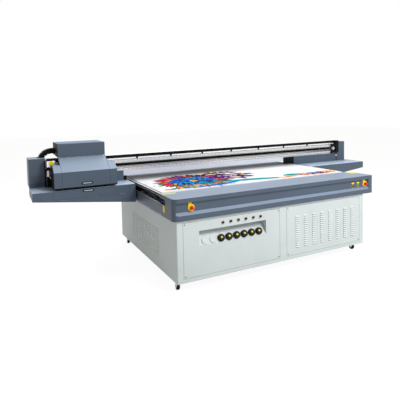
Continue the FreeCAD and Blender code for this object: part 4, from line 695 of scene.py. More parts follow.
@dataclass
class Studio:
    """Plain pale floor, soft lights and the camera."""

    eye: tuple[float, float, float] = (-2.7855, -4.5255, 1.787)
    yaw: float = 0.4662
    pitch: float = 0.0521
    roll: float = -0.0215
    lens: float = 36.594
    sensor: float = 36.0
    shift: float = -0.167
    sight: float = 200.0
    floor_size: float = 60.0
    floor_colour: Colour = (0.86, 0.86, 0.86)
    floor_roughness: float = 0.9
    sky_strength: float = 0.27
    gloss_strength: float = 0.80
    floor_glow: float = 1.10
    floor_share: float = 0.86
    fill: Colour = (1.0, 0.95, 0.85)
    white: Colour = (1.0, 1.0, 1.0)
    lamps: tuple[Lamp, ...] = (Lamp("key_light", (1.9, -5.8, 5.4), 3.0, 400.0),
                               Lamp("top_light", (0.2, 2.2, 6.0), 4.0, 230.0))

    def build_camera(self) -> None:
        """Aim the camera from its eye point."""
        forward = Vector((math.sin(self.yaw) * math.cos(self.pitch),
                          math.cos(self.yaw) * math.cos(self.pitch), -math.sin(self.pitch)))
        level = Vector((math.cos(self.yaw), -math.sin(self.yaw), 0))
        upright = level.cross(forward)
        right = math.cos(self.roll) * level + math.sin(self.roll) * upright
        up = math.cos(self.roll) * upright - math.sin(self.roll) * level
        data = bpy.data.cameras.new("camera")
        data.lens = self.lens
        data.sensor_width = self.sensor
        data.shift_y = self.shift
        data.clip_end = self.sight
        camera = bpy.data.objects.new("camera", data)
        camera.matrix_world = Matrix((
            (right.x, up.x, -forward.x, self.eye[0]), (right.y, up.y, -forward.y, self.eye[1]),
            (right.z, up.z, -forward.z, self.eye[2]), (0, 0, 0, 1)))
        bpy.context.scene.collection.objects.link(camera)
        bpy.context.scene.camera = camera

    def build_world(self) -> None:
        """White surroundings for the camera and for gloss, and a softer, warmer fill for diffuse light."""
        world = bpy.data.worlds.new("studio")
        bpy.context.scene.world = world
        world.use_nodes = True
        net = NodeNet(world.node_tree)
        world.node_tree.nodes.clear()
        path = net.add("ShaderNodeLightPath")
        seen = net.math("MAXIMUM", path.outputs["Is Camera Ray"], path.outputs["Is Transmission Ray"])
        glossy = net.math("MULTIPLY", path.outputs["Is Glossy Ray"], self.gloss_strength)
        both = net.math("MAXIMUM", seen, glossy)
        back = net.add("ShaderNodeBackground")
        net.join(net.mix(both, self.fill, self.white), back.inputs["Color"])
        net.join(net.math("MAXIMUM", both, self.sky_strength), back.inputs["Strength"])
        net.join(back.outputs[0], net.add("ShaderNodeOutputWorld").inputs[0])

    def build_floor(self) -> None:
        """A wide pale floor that keeps a faint shadow."""
        half = self.floor_size / 2
        data = bpy.data.meshes.new("floor")
        data.from_pydata([(-half, -half, 0), (half, -half, 0), (half, half, 0), (-half, half, 0)], [],
                         [(0, 1, 2, 3)])
        floor = bpy.data.objects.new("floor", data)
        bpy.context.scene.collection.objects.link(floor)
        material = bpy.data.materials.new("studio_floor")
        material.use_nodes = True
        net = NodeNet(material.node_tree)
        shader = material.node_tree.nodes["Principled BSDF"]
        shader.inputs["Base Color"].default_value = (*self.floor_colour, 1)
        shader.inputs["Roughness"].default_value = self.floor_roughness
        shader.inputs["Specular IOR Level"].default_value = 0.0
        path = net.add("ShaderNodeLightPath")
        seen = net.math("MAXIMUM", path.outputs["Is Camera Ray"], path.outputs["Is Glossy Ray"])
        seen = net.math("MAXIMUM", seen, path.outputs["Is Transmission Ray"])
        glow = net.add("ShaderNodeEmission", in_Color=(*self.white, 1), in_Strength=self.floor_glow)
        mix = net.add("ShaderNodeMixShader")
        net.join(net.math("MULTIPLY", seen, self.floor_share), mix.inputs[0])
        net.join(shader.outputs[0], mix.inputs[1])
        net.join(glow.outputs[0], mix.inputs[2])
        net.join(mix.outputs[0], material.node_tree.nodes["Material Output"].inputs[0])
        data.materials.append(material)

    def build(self) -> None:
        """Set up the whole studio."""
        self.build_camera()
        self.build_world()
        self.build_floor()
        for lamp in self.lamps:
            lamp.build()
        bpy.context.scene.view_settings.view_transform = "Standard"


@dataclass
class SubAssembly:
    """What every sub-assembly of the printer works with."""

    finishes: Finishes
    dresser: Dresser

    def put(self, shape: Shaper, body: str, *names: str, replaces: tuple[str, ...] = (),
            slot: str = "") -> bpy.types.Object:
        """Hang a finished shape on a body.

        Args:
            shape: The shape.
            body: The body's name, or an empty one for a piece that hangs on no body.
            *names: Finish names by finish number.
            replaces: Frame nodes that the piece stands for.
            slot: The record's material slot.

        Returns:
            The new piece.
        """
        return shape.place(body, [self.finishes[name] for name in names], replaces, slot)


@dataclass(frozen=True)
class Pull:
    """Oval pull: a dark rim, with a pale bowed grip across it in the shelf tops' lighter slate, a painted
    highlight.
    """

    rim: tuple[float, float, float] = (0.126, 0.0258, 0.0042)
    grip: tuple[float, float, float] = (0.09828, 0.0108, 0.0052)
    sunk: float = 0.0002
    steps: int = 32

    def build(self, owner: SubAssembly, body: str, seat: Vector) -> None:
        """Set the pull on a face that looks forward.

        Args:
            owner: The sub-assembly that it belongs to.
            body: The body that carries it.
            seat: Middle of the pull on that face.
        """
        shape = Shaper(body + "_grip")
        for finish, (length, height, rise) in enumerate((self.rim, self.grip)):
            half, radius = (length - height) / 2, height / 2
            oval = [(seat.x + math.copysign(half, x) + radius * x, seat.z + radius * y)
                    for x, y in around(self.steps)]
            shape.prism(oval, Axis.Y, seat.y - self.sunk, seat.y - rise, finish)
        owner.put(shape, body, "black_moulding", "slate_coat_shelf")


@dataclass
class Cabinet(SubAssembly):
    """Pale cabinet: shell, panels, screws, filling bay with its caps, and the red lamps."""

    panel_gap: float = 0.002
    panel_skin: float = 0.003
    panel_side: float = 0.070
    seal_sink: float = 0.0008
    louvre_rise: float = 0.0005
    hood_lean: float = 0.2
    lip_shade_height: float = 0.0074
    lip_shade_proud: float = 0.0003
    mouth_sink: float = 0.0002
    vent_columns: int = 8
    vent_rows: int = 9
    vent_front: float = 0.490
    vent_up: float = 0.146
    vent_width: float = 0.070
    vent_lap: float = 0.002
    vent_pitch_across: float = 0.121
    vent_pitch_up: float = 0.034
    head_reach: float = 0.03
    recess_width: float = 0.16
    recess_length: float = 0.9
    recess_proud: float = 0.0003
    recess_sink: float = 0.0001
    port_facing: tuple[float, float, float] = (0, -0.8159, 0.5782)
    port_pitch: float = 0.093
    blank_count: int = 2
    blank_stand: float = 0.0071
    cap_count: int = 6
    cap_ribs: int = 28
    cap_stand: float = 0.015
    rib_depth: float = 0.0011

    def dress_sheets(self) -> None:
        """Finish the shell, the panels and what stands inside."""
        dress, repaint = self.dresser.dress, self.dresser.repaint
        dress("cabinet_shell", "cabinet_coat", soft=0.0015, slot="cabinet_paint")
        for node in ("front_panel_left", "rear_panel"):
            dress(node, "cabinet_coat", soft=0.0006, slot="cabinet_paint")
        dress("front_panel_right", "cabinet_coat", "slit_shadow", "louvre_coat", slot="cabinet_paint")
        proud = Extent.of("front_panel_left").lo.y - self.louvre_rise
        # Undersides of the louvre lips take slit_shadow, painted shade; their upward faces take the lighter
        # louvre finish, a painted highlight.
        repaint("front_panel_right", 1, lambda centre, normal: centre.y < proud and normal.z < -STEEP)
        repaint("front_panel_right", 2, lambda centre, normal: centre.y < proud and normal.z > self.hood_lean)
        dress("base_frame", "frame_coat", slot="frame_paint")
        dress("control_box", "frame_coat", soft=0.002, slot="frame_paint")
        dress("vacuum_blower", "satin_aluminium", slot="aluminium")
        dress("ink_tanks", "natural_plastic", slot="tank_plastic")
        dress("ink_bay", "bay_coat", slot="bay_sheet")

    def build_seams(self) -> None:
        """Dark rubber seals in the gaps round the three panels."""
        shape = Shaper("panel_seals")
        gap = self.panel_gap
        for node in ("front_panel_left", "front_panel_right", "rear_panel"):
            box = Extent.of(node)
            inner, outer = box.lo.y, box.hi.y - self.seal_sink
            if node != "rear_panel":
                inner, outer = box.hi.y - self.panel_skin + self.seal_sink, box.hi.y
            left, right, low, high = box.lo.x, box.hi.x, box.lo.z, box.hi.z
            for x0, x1, z0, z1 in ((left - gap, right + gap, low - gap, low),
                                   (left - gap, right + gap, high, high + gap),
                                   (left - gap, left, low, high), (right, right + gap, low, high)):
                shape.block((x0, inner, z0), (x1, outer, z1))
        self.put(shape, "base", "seam_shadow")

    def build_louvre_lip_shade(self) -> None:
        """Painted shade: a dark strip on the sheet under the lip of each louvre in the right front panel."""
        data = self.dresser.nodes["front_panel_right"].data
        sheet = Extent.of("front_panel_left").lo.y
        lips = set()
        for face in data.polygons:
            if face.center.y < sheet - self.louvre_rise and face.normal.z < -STEEP:
                across = [data.vertices[v].co.x for v in face.vertices]
                lips.add((round(min(across), 4), round(max(across), 4), round(face.center.z, 4)))
        shape = Shaper("louvre_mouths")
        for left, right, lip in sorted(lips):
            shape.block((left, sheet - self.lip_shade_proud, lip - self.lip_shade_height),
                        (right, sheet + self.mouth_sink, lip))
        self.put(shape, "base", "seam_shadow")

    def build_vent_hoods(self) -> None:
        """Small pressed hoods over the slits in the cabinet's left side, in the lighter louvre finish: a
        painted highlight.
        """
        shape = Shaper("side_vent_hoods")
        panel = Extent.of("front_panel_left")
        face, front = panel.lo.x - self.panel_side, panel.hi.y - self.panel_skin
        low = Extent.of("cabinet_shell").lo.z
        for column in range(self.vent_columns):
            start = front + self.vent_front + column * self.vent_pitch_across
            for row in range(self.vent_rows):
                base = low + self.vent_up + row * self.vent_pitch_up
                shape.prism([(face, base + 0.0125), (face - 0.0075, base + 0.0005),
                             (face - 0.0063, base - 0.0010), (face, base + 0.0095)], Axis.Y,
                            start - self.vent_lap, start + self.vent_width + self.vent_lap)
        self.put(shape, "base", "louvre_coat")

    def build_screws(self) -> None:
        """Domed screw heads with a flat dark cross on top, painted shade standing for a cross recess; they
        stand where the frame's heads do.
        """
        shape = Shaper("panel_screw_heads")
        for centre, low, high in self.heads_of("panel_screws"):
            out = FORWARD if centre.y < 0 else BACKWARD
            base = Vector((centre.x, high.y if centre.y < 0 else low.y, centre.z))
            radius, rise = (high.x - low.x) / 2, high.y - low.y
            shape.turn([(0, 0), (radius, 0), (radius * 0.96, rise * 0.4), (radius * 0.7, rise * 0.85),
                        (radius * 0.3, rise), (0, rise)], base, out, 20)
            top = base + out * rise
            long, thin = radius * self.recess_length / 2, radius * self.recess_width / 2
            for wide, tall in ((long, thin), (thin, long)):
                shape.block((top.x - wide, top.y - self.recess_proud, top.z - tall),
                            (top.x + wide, top.y + self.recess_sink, top.z + tall), 1)
        self.put(shape, "base", "dark_screw", "dark_bore", replaces=("panel_screws",), slot="steel")

    def heads_of(self, node: str) -> list[tuple[Vector, Vector, Vector]]:
        """Find the separate heads in a node that holds many.

        Args:
            node: The frame node.

        Returns:
            Each head's centre, low corner and high corner.
        """
        heads: list[list[Vector]] = []
        for point in (v.co for v in self.dresser.nodes[node].data.vertices):
            for found in heads:
                if (found[0] - point).length < self.head_reach:
                    found.append(point)
                    break
            else:
                heads.append([point])
        made = []
        for found in heads:
            low, high = (Vector([pick(p[i] for p in found) for i in range(3)]) for pick in (min, max))
            made.append(((low + high) / 2, low, high))
        return made

    def build_caps(self) -> None:
        """Knurled black caps with a bright domed centre."""
        out = Vector(self.port_facing)
        spin = out.to_track_quat("Z", "Y").to_matrix()
        rings = ((0.0205, 0.0), (0.038, 0.0), (0.038, 0.024), (0.0352, 0.0296), (0.014, 0.030),
                 (0.0115, 0.0286))
        ribbed = (0.0, self.rib_depth, self.rib_depth, 0.0, 0.0, 0.0)
        for number in range(1, self.cap_count + 1):
            node = "ink_cap_%d" % number
            shape = Shaper(node + "_knob")
            base = Extent.of(node).middle - out * self.cap_stand
            made = []
            for (radius, height), depth in zip(rings, ribbed):
                rims = (radius, radius - depth)
                made.append([base + spin @ Vector((rims[step % 2] * x, rims[step % 2] * y, height))
                             for step, (x, y) in enumerate(around(self.cap_ribs * 2))])
            shape.hull(made)
            shape.turn([(0.0120, 0.0280), (0.0118, 0.0298), (0.009, 0.0307), (0.004, 0.0311), (0, 0.0312)],
                       base, out, 28, 1)
            self.put(shape, node, "black_moulding", "cap_yellow", replaces=(node,), slot="black_plastic")

    def build_blanks(self) -> None:
        """Fine rims round the blank ports."""
        out = Vector(self.port_facing)
        first = Extent.of("ink_cap_1").middle - out * self.blank_stand
        shape = Shaper("blank_port_rims")
        for step in range(1, self.blank_count + 1):
            shape.turn([(0.0295, 0.0), (0.0345, 0.0), (0.0345, 0.0014), (0.033, 0.0022), (0.0300, 0.0012),
                        (0.0295, 0.0)], first - Vector((self.port_pitch * step, 0, 0)), out, 36)
        self.put(shape, "base", "bay_coat")

    def build_lamps(self) -> None:
        """Round red lamps with a fine bezel over each port in use."""
        shape = Shaper("ink_level_lamps")
        for centre, low, high in self.heads_of("ink_lamps"):
            base = Vector((centre.x, high.y, centre.z))
            radius, rise = (high.x - low.x) / 2, high.y - low.y
            shape.turn([(0, 0), (radius, 0), (radius, rise * 0.3), (radius * 0.9, rise * 0.42),
                        (radius * 0.82, rise * 0.42), (0, rise * 0.4)], base, FORWARD, 32, 1)
            shape.turn([(radius * 0.8, rise * 0.38), (radius * 0.78, rise * 0.62),
                        (radius * 0.6, rise * 0.88), (radius * 0.3, rise * 0.99), (0, rise)], base, FORWARD)
        self.put(shape, "base", "lamp_red", "black_moulding", replaces=("ink_lamps",), slot="red_plastic")

    def build(self) -> None:
        """Build and dress the cabinet."""
        self.dress_sheets()
        self.build_seams()
        self.build_louvre_lip_shade()
        self.build_vent_hoods()
        self.build_screws()
        self.build_caps()
        self.build_blanks()
        self.build_lamps()


@dataclass
class RunningGear(SubAssembly):
    """Casters and the plates that hold them."""

    corners: tuple[str, ...] = ("fl", "fr", "rl", "rr")

    def build_wheel(self, node: str) -> None:
        """Tyre with a crowned tread on a hub with a sunk web.

        Args:
            node: The wheel's frame node, which its body is named after.
        """
        box = Extent.of(node)
        centre, radius, half = box.middle, box.size.z / 2, box.size.x / 2
        axle = Vector((1, 0, 0))
        tyre = [(radius * 0.62, half), (radius * 0.86, half), (radius * 0.95, half * 0.82),
                (radius, half * 0.4)]
        hub = [(0.0062, half * 0.98), (0.012, half * 0.98), (0.014, half * 0.6),
               (radius * 0.6, half * 0.55), (radius * 0.63, half * 0.96)]
        shape = Shaper(node + "_tyre")
        for finish, side in enumerate((tyre, hub)):
            mirrored = [(wide, -along) for wide, along in side]
            shape.turn(mirrored + side[::-1], centre, axle, 40, finish)
        self.put(shape, node, "tyre_rubber", "grey_moulding", replaces=(node,), slot="black_rubber")

    def build(self) -> None:
        """Build and dress every corner."""
        for corner in self.corners:
            self.dresser.dress("caster_fork_" + corner, "zinc_steel", soft=0.0008, slot="steel")
            self.build_wheel("caster_wheel_" + corner)
        self.dresser.dress("caster_plates", "zinc_steel", soft=0.0006, slot="steel")


class Ink(Enum):
    """Printed colours of the board's pattern."""

    COBALT = (0, 74, 190)
    SKY = (0, 140, 222)
    TEAL = (0, 150, 150)
    LEAF = (50, 130, 60)
    SUN = (246, 196, 20)
    ORANGE = (232, 96, 16)
    ROSE = (216, 8, 84)
    VIOLET = (84, 26, 130)
    NAVY = (24, 22, 92)
    UMBER = (30, 22, 26)

    @property
    def finish(self) -> str:
        """Name of the ink's finish."""
        return "ink_" + self.name.lower()


@dataclass(frozen=True)
class Stroke:
    """One ribbon of the print: its points on the board, its greatest width and its ink."""

    points: tuple[Spot, ...]
    width: float
    ink: Ink


@dataclass(frozen=True)
class PetalRing:
    """One ring of the blossom: its reach, and its petals' sizes, count, inks and dark rims.

    The palette gives the inks by direction: each entry holds up to a multiple of half a turn.
    """

    reach: float
    length: float
    width: float
    count: int
    palette: tuple[tuple[float, tuple[Ink, ...]], ...]
    rim: Ink

    def inks(self, turn: float) -> tuple[Ink, ...]:
        """Inks that the ring has in one direction."""
        return next(found for limit, found in self.palette if turn % (2 * math.pi) < limit * math.pi)


WHOLE = 2.01  # past the full turn of 2, so that rounding never leaves a direction without inks
BRIGHT = ((0.42, (Ink.NAVY, Ink.VIOLET, Ink.UMBER)), (0.75, (Ink.VIOLET, Ink.ROSE, Ink.ORANGE)),
          (1.15, (Ink.ROSE, Ink.ROSE, Ink.ORANGE, Ink.LEAF)),
          (1.75, (Ink.ORANGE, Ink.SUN, Ink.LEAF, Ink.SUN)), (WHOLE, (Ink.UMBER, Ink.ORANGE, Ink.TEAL)))
WARM = ((WHOLE, (Ink.ORANGE, Ink.SUN, Ink.ORANGE)),)
COOL = ((WHOLE, (Ink.COBALT, Ink.SKY, Ink.SKY, Ink.NAVY, Ink.TEAL)),)
HEART = ((WHOLE, (Ink.NAVY, Ink.COBALT, Ink.SKY)),)
BLOSSOM = (
    PetalRing(0.30, 0.26, 0.085, 40, BRIGHT, Ink.UMBER), PetalRing(0.28, 0.19, 0.07, 44, BRIGHT, Ink.UMBER),
    PetalRing(0.23, 0.17, 0.05, 48, WARM, Ink.UMBER), PetalRing(0.20, 0.17, 0.075, 36, COOL, Ink.NAVY),
    PetalRing(0.13, 0.17, 0.07, 30, COOL, Ink.NAVY), PetalRing(0.08, 0.13, 0.06, 24, COOL, Ink.NAVY),
    PetalRing(0.03, 0.11, 0.05, 18, HEART, Ink.NAVY),
)
SPRAYS = (
    Stroke(((-0.42, 0.08), (-0.20, 0.10), (0.04, 0.00), (0.26, -0.08)), 0.07, Ink.UMBER),
    Stroke(((-0.44, -0.02), (-0.22, -0.06), (0.00, -0.14), (0.17, -0.19)), 0.08, Ink.NAVY),
    Stroke(((-0.46, 0.16), (-0.28, 0.26), (-0.06, 0.24), (0.12, 0.14)), 0.08, Ink.NAVY),
    Stroke(((-0.44, -0.10), (-0.30, -0.18), (-0.14, -0.24), (0.02, -0.25)), 0.07, Ink.VIOLET),
)
RIBBONS = (
    Stroke(((-0.98, -0.545), (-0.74, -0.54), (-0.50, -0.52), (-0.34, -0.49), (-0.18, -0.43)), 0.085, Ink.SKY),
    Stroke(((-0.88, -0.535), (-0.66, -0.53), (-0.46, -0.50), (-0.28, -0.46)), 0.045, Ink.COBALT),
    Stroke(((-0.50, -0.370), (-0.26, -0.410), (-0.04, -0.44), (0.18, -0.49), (0.46, -0.55)), 0.120, Ink.TEAL),
    Stroke(((-0.36, -0.430), (-0.10, -0.47), (0.16, -0.53)), 0.030, Ink.SKY),
    Stroke(((0.26, -0.550), (0.40, -0.53), (0.54, -0.54)), 0.060, Ink.SUN),
    Stroke(((0.36, -0.545), (0.50, -0.51), (0.62, -0.53)), 0.060, Ink.ORANGE),
    Stroke(((0.44, -0.440), (0.58, -0.41), (0.78, -0.46)), 0.120, Ink.TEAL),
)
SPRAY_INKS = (Ink.NAVY, Ink.UMBER, Ink.VIOLET, Ink.UMBER, Ink.SUN, Ink.ROSE)
FRINGE_INKS = (Ink.ORANGE, Ink.SUN, Ink.LEAF, Ink.UMBER, Ink.ORANGE, Ink.TEAL)
LOOSE_INKS = (Ink.ROSE, Ink.LEAF, Ink.SUN, Ink.SKY, Ink.ORANGE)
ROW_INKS = ((Ink.UMBER, Ink.ROSE), (Ink.TEAL, Ink.SUN), (Ink.SUN, Ink.ORANGE), (Ink.COBALT, Ink.SKY),
            (Ink.ORANGE, Ink.UMBER), (Ink.SKY, Ink.TEAL), (Ink.UMBER, Ink.ORANGE))


@dataclass
class PrintedBoard(SubAssembly):
    """The white board on the bed, printed with one great layered blossom, sprays and ribbons."""

    seed: int = 7
    ink_height: float = 0.0002
    layer_rise: float = 4e-7
    layers: int = 0
    middle: Spot = (-0.68, -0.14)
    scale: float = 0.80
    spread: float = 1.12
    lean: float = 0.25
    outline: float = 1.16
    turn_play: Range = (-0.3, 0.3)
    length_play: Range = (0.8, 1.1)
    heart_radius: float = 0.045
    eye_radius: float = 0.025
    spray_petals: int = 26
    spray_share: Range = (0.0, 0.85)
    spray_turn: Range = (-1.5, 1.5)
    spray_length: Range = (0.07, 0.15)
    spray_width: Range = (0.03, 0.06)
    fringe_petals: int = 34
    fringe_start: Spot = (-0.70, -0.44)
    fringe_end: Spot = (-1.14, -0.525)
    fringe_sides: Range = (-0.5, 0.5)
    fringe_turn: Range = (-0.2, 0.2)
    fringe_length: Range = (0.07, 0.11)
    fringe_width: Range = (0.03, 0.045)
    loose_petals: int = 46
    loose_reach: Range = (0.50, 0.62)
    loose_length: Range = (0.015, 0.04)
    loose_width: Range = (0.008, 0.016)
    loose_front: float = -0.56
    loose_left: float = -1.24
    row_blossoms: int = 10
    row_petals: int = 9
    row_length: Range = (0.075, 0.10)
    row_width: float = 0.055
    row_eye: float = 0.018
    row_pitch: float = 0.050
    row_start: Spot = (0.72, -0.488)
    row_wave: float = 0.012
    row_phase: float = 2.4
    ribbon_steps: int = 8
    ribbon_tip: float = 0.03
    ribbon_swell: float = 0.6
    shadow_near: float = 0.10
    shadow_far: float = 0.46
    shadow_tint: Colour = srgb(120, 123, 133)
    petal_rim: tuple[Spot, ...] = ((0.0, 0.0), (0.25, 0.42), (0.55, 0.5), (0.82, 0.28), (1.0, 0.0),
                                   (0.82, -0.28), (0.55, -0.5), (0.25, -0.42))

    def paint_beam_shadow(self) -> None:
        """Painted shadow of the beam: tint the board's ground from white in front to a soft grey at its far
        end.
        """
        tree = self.finishes["board_face"].node_tree
        net = NodeNet(tree)
        shader = tree.nodes["Principled BSDF"]
        plain = shader.inputs["Base Color"].links[0].from_socket
        place = net.add("ShaderNodeSeparateXYZ")
        net.join(net.place(), place.inputs[0])
        depth = net.ranged(place.outputs["Y"], self.shadow_near, self.shadow_far, kind="SMOOTHSTEP")
        net.join(net.mix(depth, plain, self.shadow_tint), shader.inputs["Base Color"])

    def number(self, ink: Ink) -> int:
        """The ink's finish number on the print."""
        return list(Ink).index(ink)

    def at(self, x: float, y: float) -> Vector:
        """Find a point on the board, a hair above the print that went before it.

        Args:
            x: Place along the board.
            y: Place across the board.

        Returns:
            The point.
        """
        self.layers += 1
        level = Extent.of("print_sheet").hi.z + self.ink_height
        return Vector((x, y, level + self.layers * self.layer_rise))

    def petal(self, shape: Shaper, root: Spot, angle: float, length: float, width: float, ink: Ink) -> None:
        """Add one pointed petal or leaf.

        Args:
            shape: The piece that it goes into.
            root: Where it starts on the board.
            angle: Its direction.
            length: Its length in metres.
            width: Its greatest width in metres.
            ink: Its colour.
        """
        centre = self.at(*root)
        ahead = Vector((math.cos(angle), math.sin(angle), 0))
        side = Vector((-ahead.y, ahead.x, 0))
        rim = [centre + ahead * (length * a) + side * (width * b) for a, b in self.petal_rim]
        shape.flat(rim, self.number(ink))

    def disc(self, shape: Shaper, middle: Spot, radius: float, ink: Ink, steps: int = 28) -> None:
        """Add one round spot.

        Args:
            shape: The piece that it goes into.
            middle: Its middle on the board.
            radius: Its radius in metres.
            ink: Its colour.
            steps: Points round.
        """
        centre = self.at(*middle)
        shape.flat([centre + Vector((radius * x, radius * y, 0)) for x, y in around(steps)], self.number(ink))

    def ribbon(self, shape: Shaper, stroke: Stroke) -> None:
        """Add a brushed ribbon that swells in the middle and tapers to its ends.

        Args:
            shape: The piece that it goes into.
            stroke: The ribbon's points, width and ink.
        """
        fine = self.ribbon_steps
        path = [between(near, far, step / fine) for near, far in zip(stroke.points, stroke.points[1:])
                for step in range(fine)] + [stroke.points[-1]]
        for _ in range(fine):
            eased = [((a[0] + b[0] + c[0]) / 3, (a[1] + b[1] + c[1]) / 3)
                     for a, b, c in zip(path, path[1:], path[2:])]
            path = [path[0], *eased, path[-1]]
        level = self.at(0, 0).z
        count = len(path) - 1
        rims = []
        for step, point in enumerate(path):
            before, after = path[max(step - 1, 0)], path[min(step + 1, count)]
            side = Vector((before[1] - after[1], after[0] - before[0], 0)).normalized()
            wide = stroke.width * max(math.sin(math.pi * step / count), self.ribbon_tip) ** self.ribbon_swell
            spot = Vector((*point, level))
            rims.append((spot - side * wide / 2, spot + side * wide / 2))
        for near, far in zip(rims, rims[1:]):
            shape.flat([near[0], far[0], far[1], near[1]], self.number(stroke.ink))

    def blossom(self, shape: Shaper, rng: random.Random) -> None:
        """Rings of petals, from the outermost inwards, whose colours turn with their direction.

        Args:
            shape: The piece that they go into.
            rng: Source of the petals' small differences.
        """
        for ring in BLOSSOM:
            for step in range(ring.count):
                turn = 2 * math.pi * (step + rng.uniform(*self.turn_play)) / ring.count
                long = self.scale * ring.length * rng.uniform(*self.length_play)
                wide = self.scale * ring.width
                root = (self.middle[0] + self.scale * self.spread * ring.reach * math.cos(turn),
                        self.middle[1] + self.scale * ring.reach * math.sin(turn))
                self.petal(shape, root, turn + self.lean, long * self.outline, wide * self.outline, ring.rim)
                self.petal(shape, root, turn + self.lean, long, wide, rng.choice(ring.inks(turn)))
        self.disc(shape, self.middle, self.heart_radius, Ink.SUN)
        self.disc(shape, self.middle, self.eye_radius, Ink.ORANGE)

    def sprays(self, shape: Shaper, rng: random.Random) -> None:
        """Dark sprays to the blossom's right, a fringe along its front, and loose petals round it.

        Args:
            shape: The piece that they go into.
            rng: Source of the petals' small differences.
        """
        for stroke in SPRAYS:
            self.ribbon(shape, stroke)
            spans = len(stroke.points) - 1
            for _ in range(self.spray_petals):
                share = rng.uniform(*self.spray_share) * spans
                step = min(int(share), spans - 1)
                spot = between(stroke.points[step], stroke.points[step + 1], share - step)
                self.petal(shape, spot, rng.uniform(*self.spray_turn), rng.uniform(*self.spray_length),
                           rng.uniform(*self.spray_width), rng.choice(SPRAY_INKS))
        for number in range(self.fringe_petals):
            share = number / (self.fringe_petals - 1)
            root = between(self.fringe_start, self.fringe_end, share)
            angle = math.pi + rng.choice(self.fringe_sides) + rng.uniform(*self.fringe_turn)
            self.petal(shape, root, angle, rng.uniform(*self.fringe_length) * (1.1 - 0.4 * share),
                       rng.uniform(*self.fringe_width), rng.choice(FRINGE_INKS))
        for _ in range(self.loose_petals):
            turn = rng.uniform(0, 2 * math.pi)
            reach = rng.uniform(*self.loose_reach)
            spot = (self.middle[0] + reach * math.cos(turn),
                    max(self.middle[1] + reach * math.sin(turn), self.loose_front))
            if spot[0] > self.loose_left:
                self.petal(shape, spot, turn, rng.uniform(*self.loose_length),
                           rng.uniform(*self.loose_width), rng.choice(LOOSE_INKS))

    def border(self, shape: Shaper, rng: random.Random) -> None:
        """Ribbons along the board's front edge that end in a row of small blossoms.

        Args:
            shape: The piece that they go into.
            rng: Source of the petals' small differences.
        """
        for stroke in RIBBONS:
            self.ribbon(shape, stroke)
        for number in range(self.row_blossoms):
            middle = (self.row_start[0] + self.row_pitch * number,
                      self.row_start[1] + self.row_wave * math.sin(self.row_phase * number))
            inks = ROW_INKS[number % len(ROW_INKS)]
            for leaf in range(self.row_petals):
                turn = 2 * math.pi * leaf / self.row_petals
                self.petal(shape, middle, turn, rng.uniform(*self.row_length), self.row_width,
                           inks[leaf % 2])
            self.disc(shape, middle, self.row_eye, Ink.UMBER, 12)

    def build(self) -> None:
        """Dress the board and print its pattern."""
        self.dresser.dress("print_sheet", "board_face", soft=0.0008, slot="board")
        self.paint_beam_shadow()
        rng = random.Random(self.seed)
        shape = Shaper("board_print")
        self.blossom(shape, rng)
        self.sprays(shape, rng)
        self.border(shape, rng)
        self.put(shape, "base", *(ink.finish for ink in Ink))


class Head(Enum):
    """Kinds of switch head: ending of the name, points round, and outline in shares of radius and rise."""

    MUSHROOM = ("_head", 40, ((0, 0), (0.6, 0), (0.6, 0.40), (0.86, 0.43), (1, 0.5), (1, 0.72),
                              (0.93, 0.84), (0.75, 0.93), (0.4, 0.99), (0, 1)))
    BUTTON = ("_key", 32, ((0, 0), (1, 0), (1, 0.9), (0.92, 1), (0.8, 1), (0.5, 0.93), (0, 0.9)))


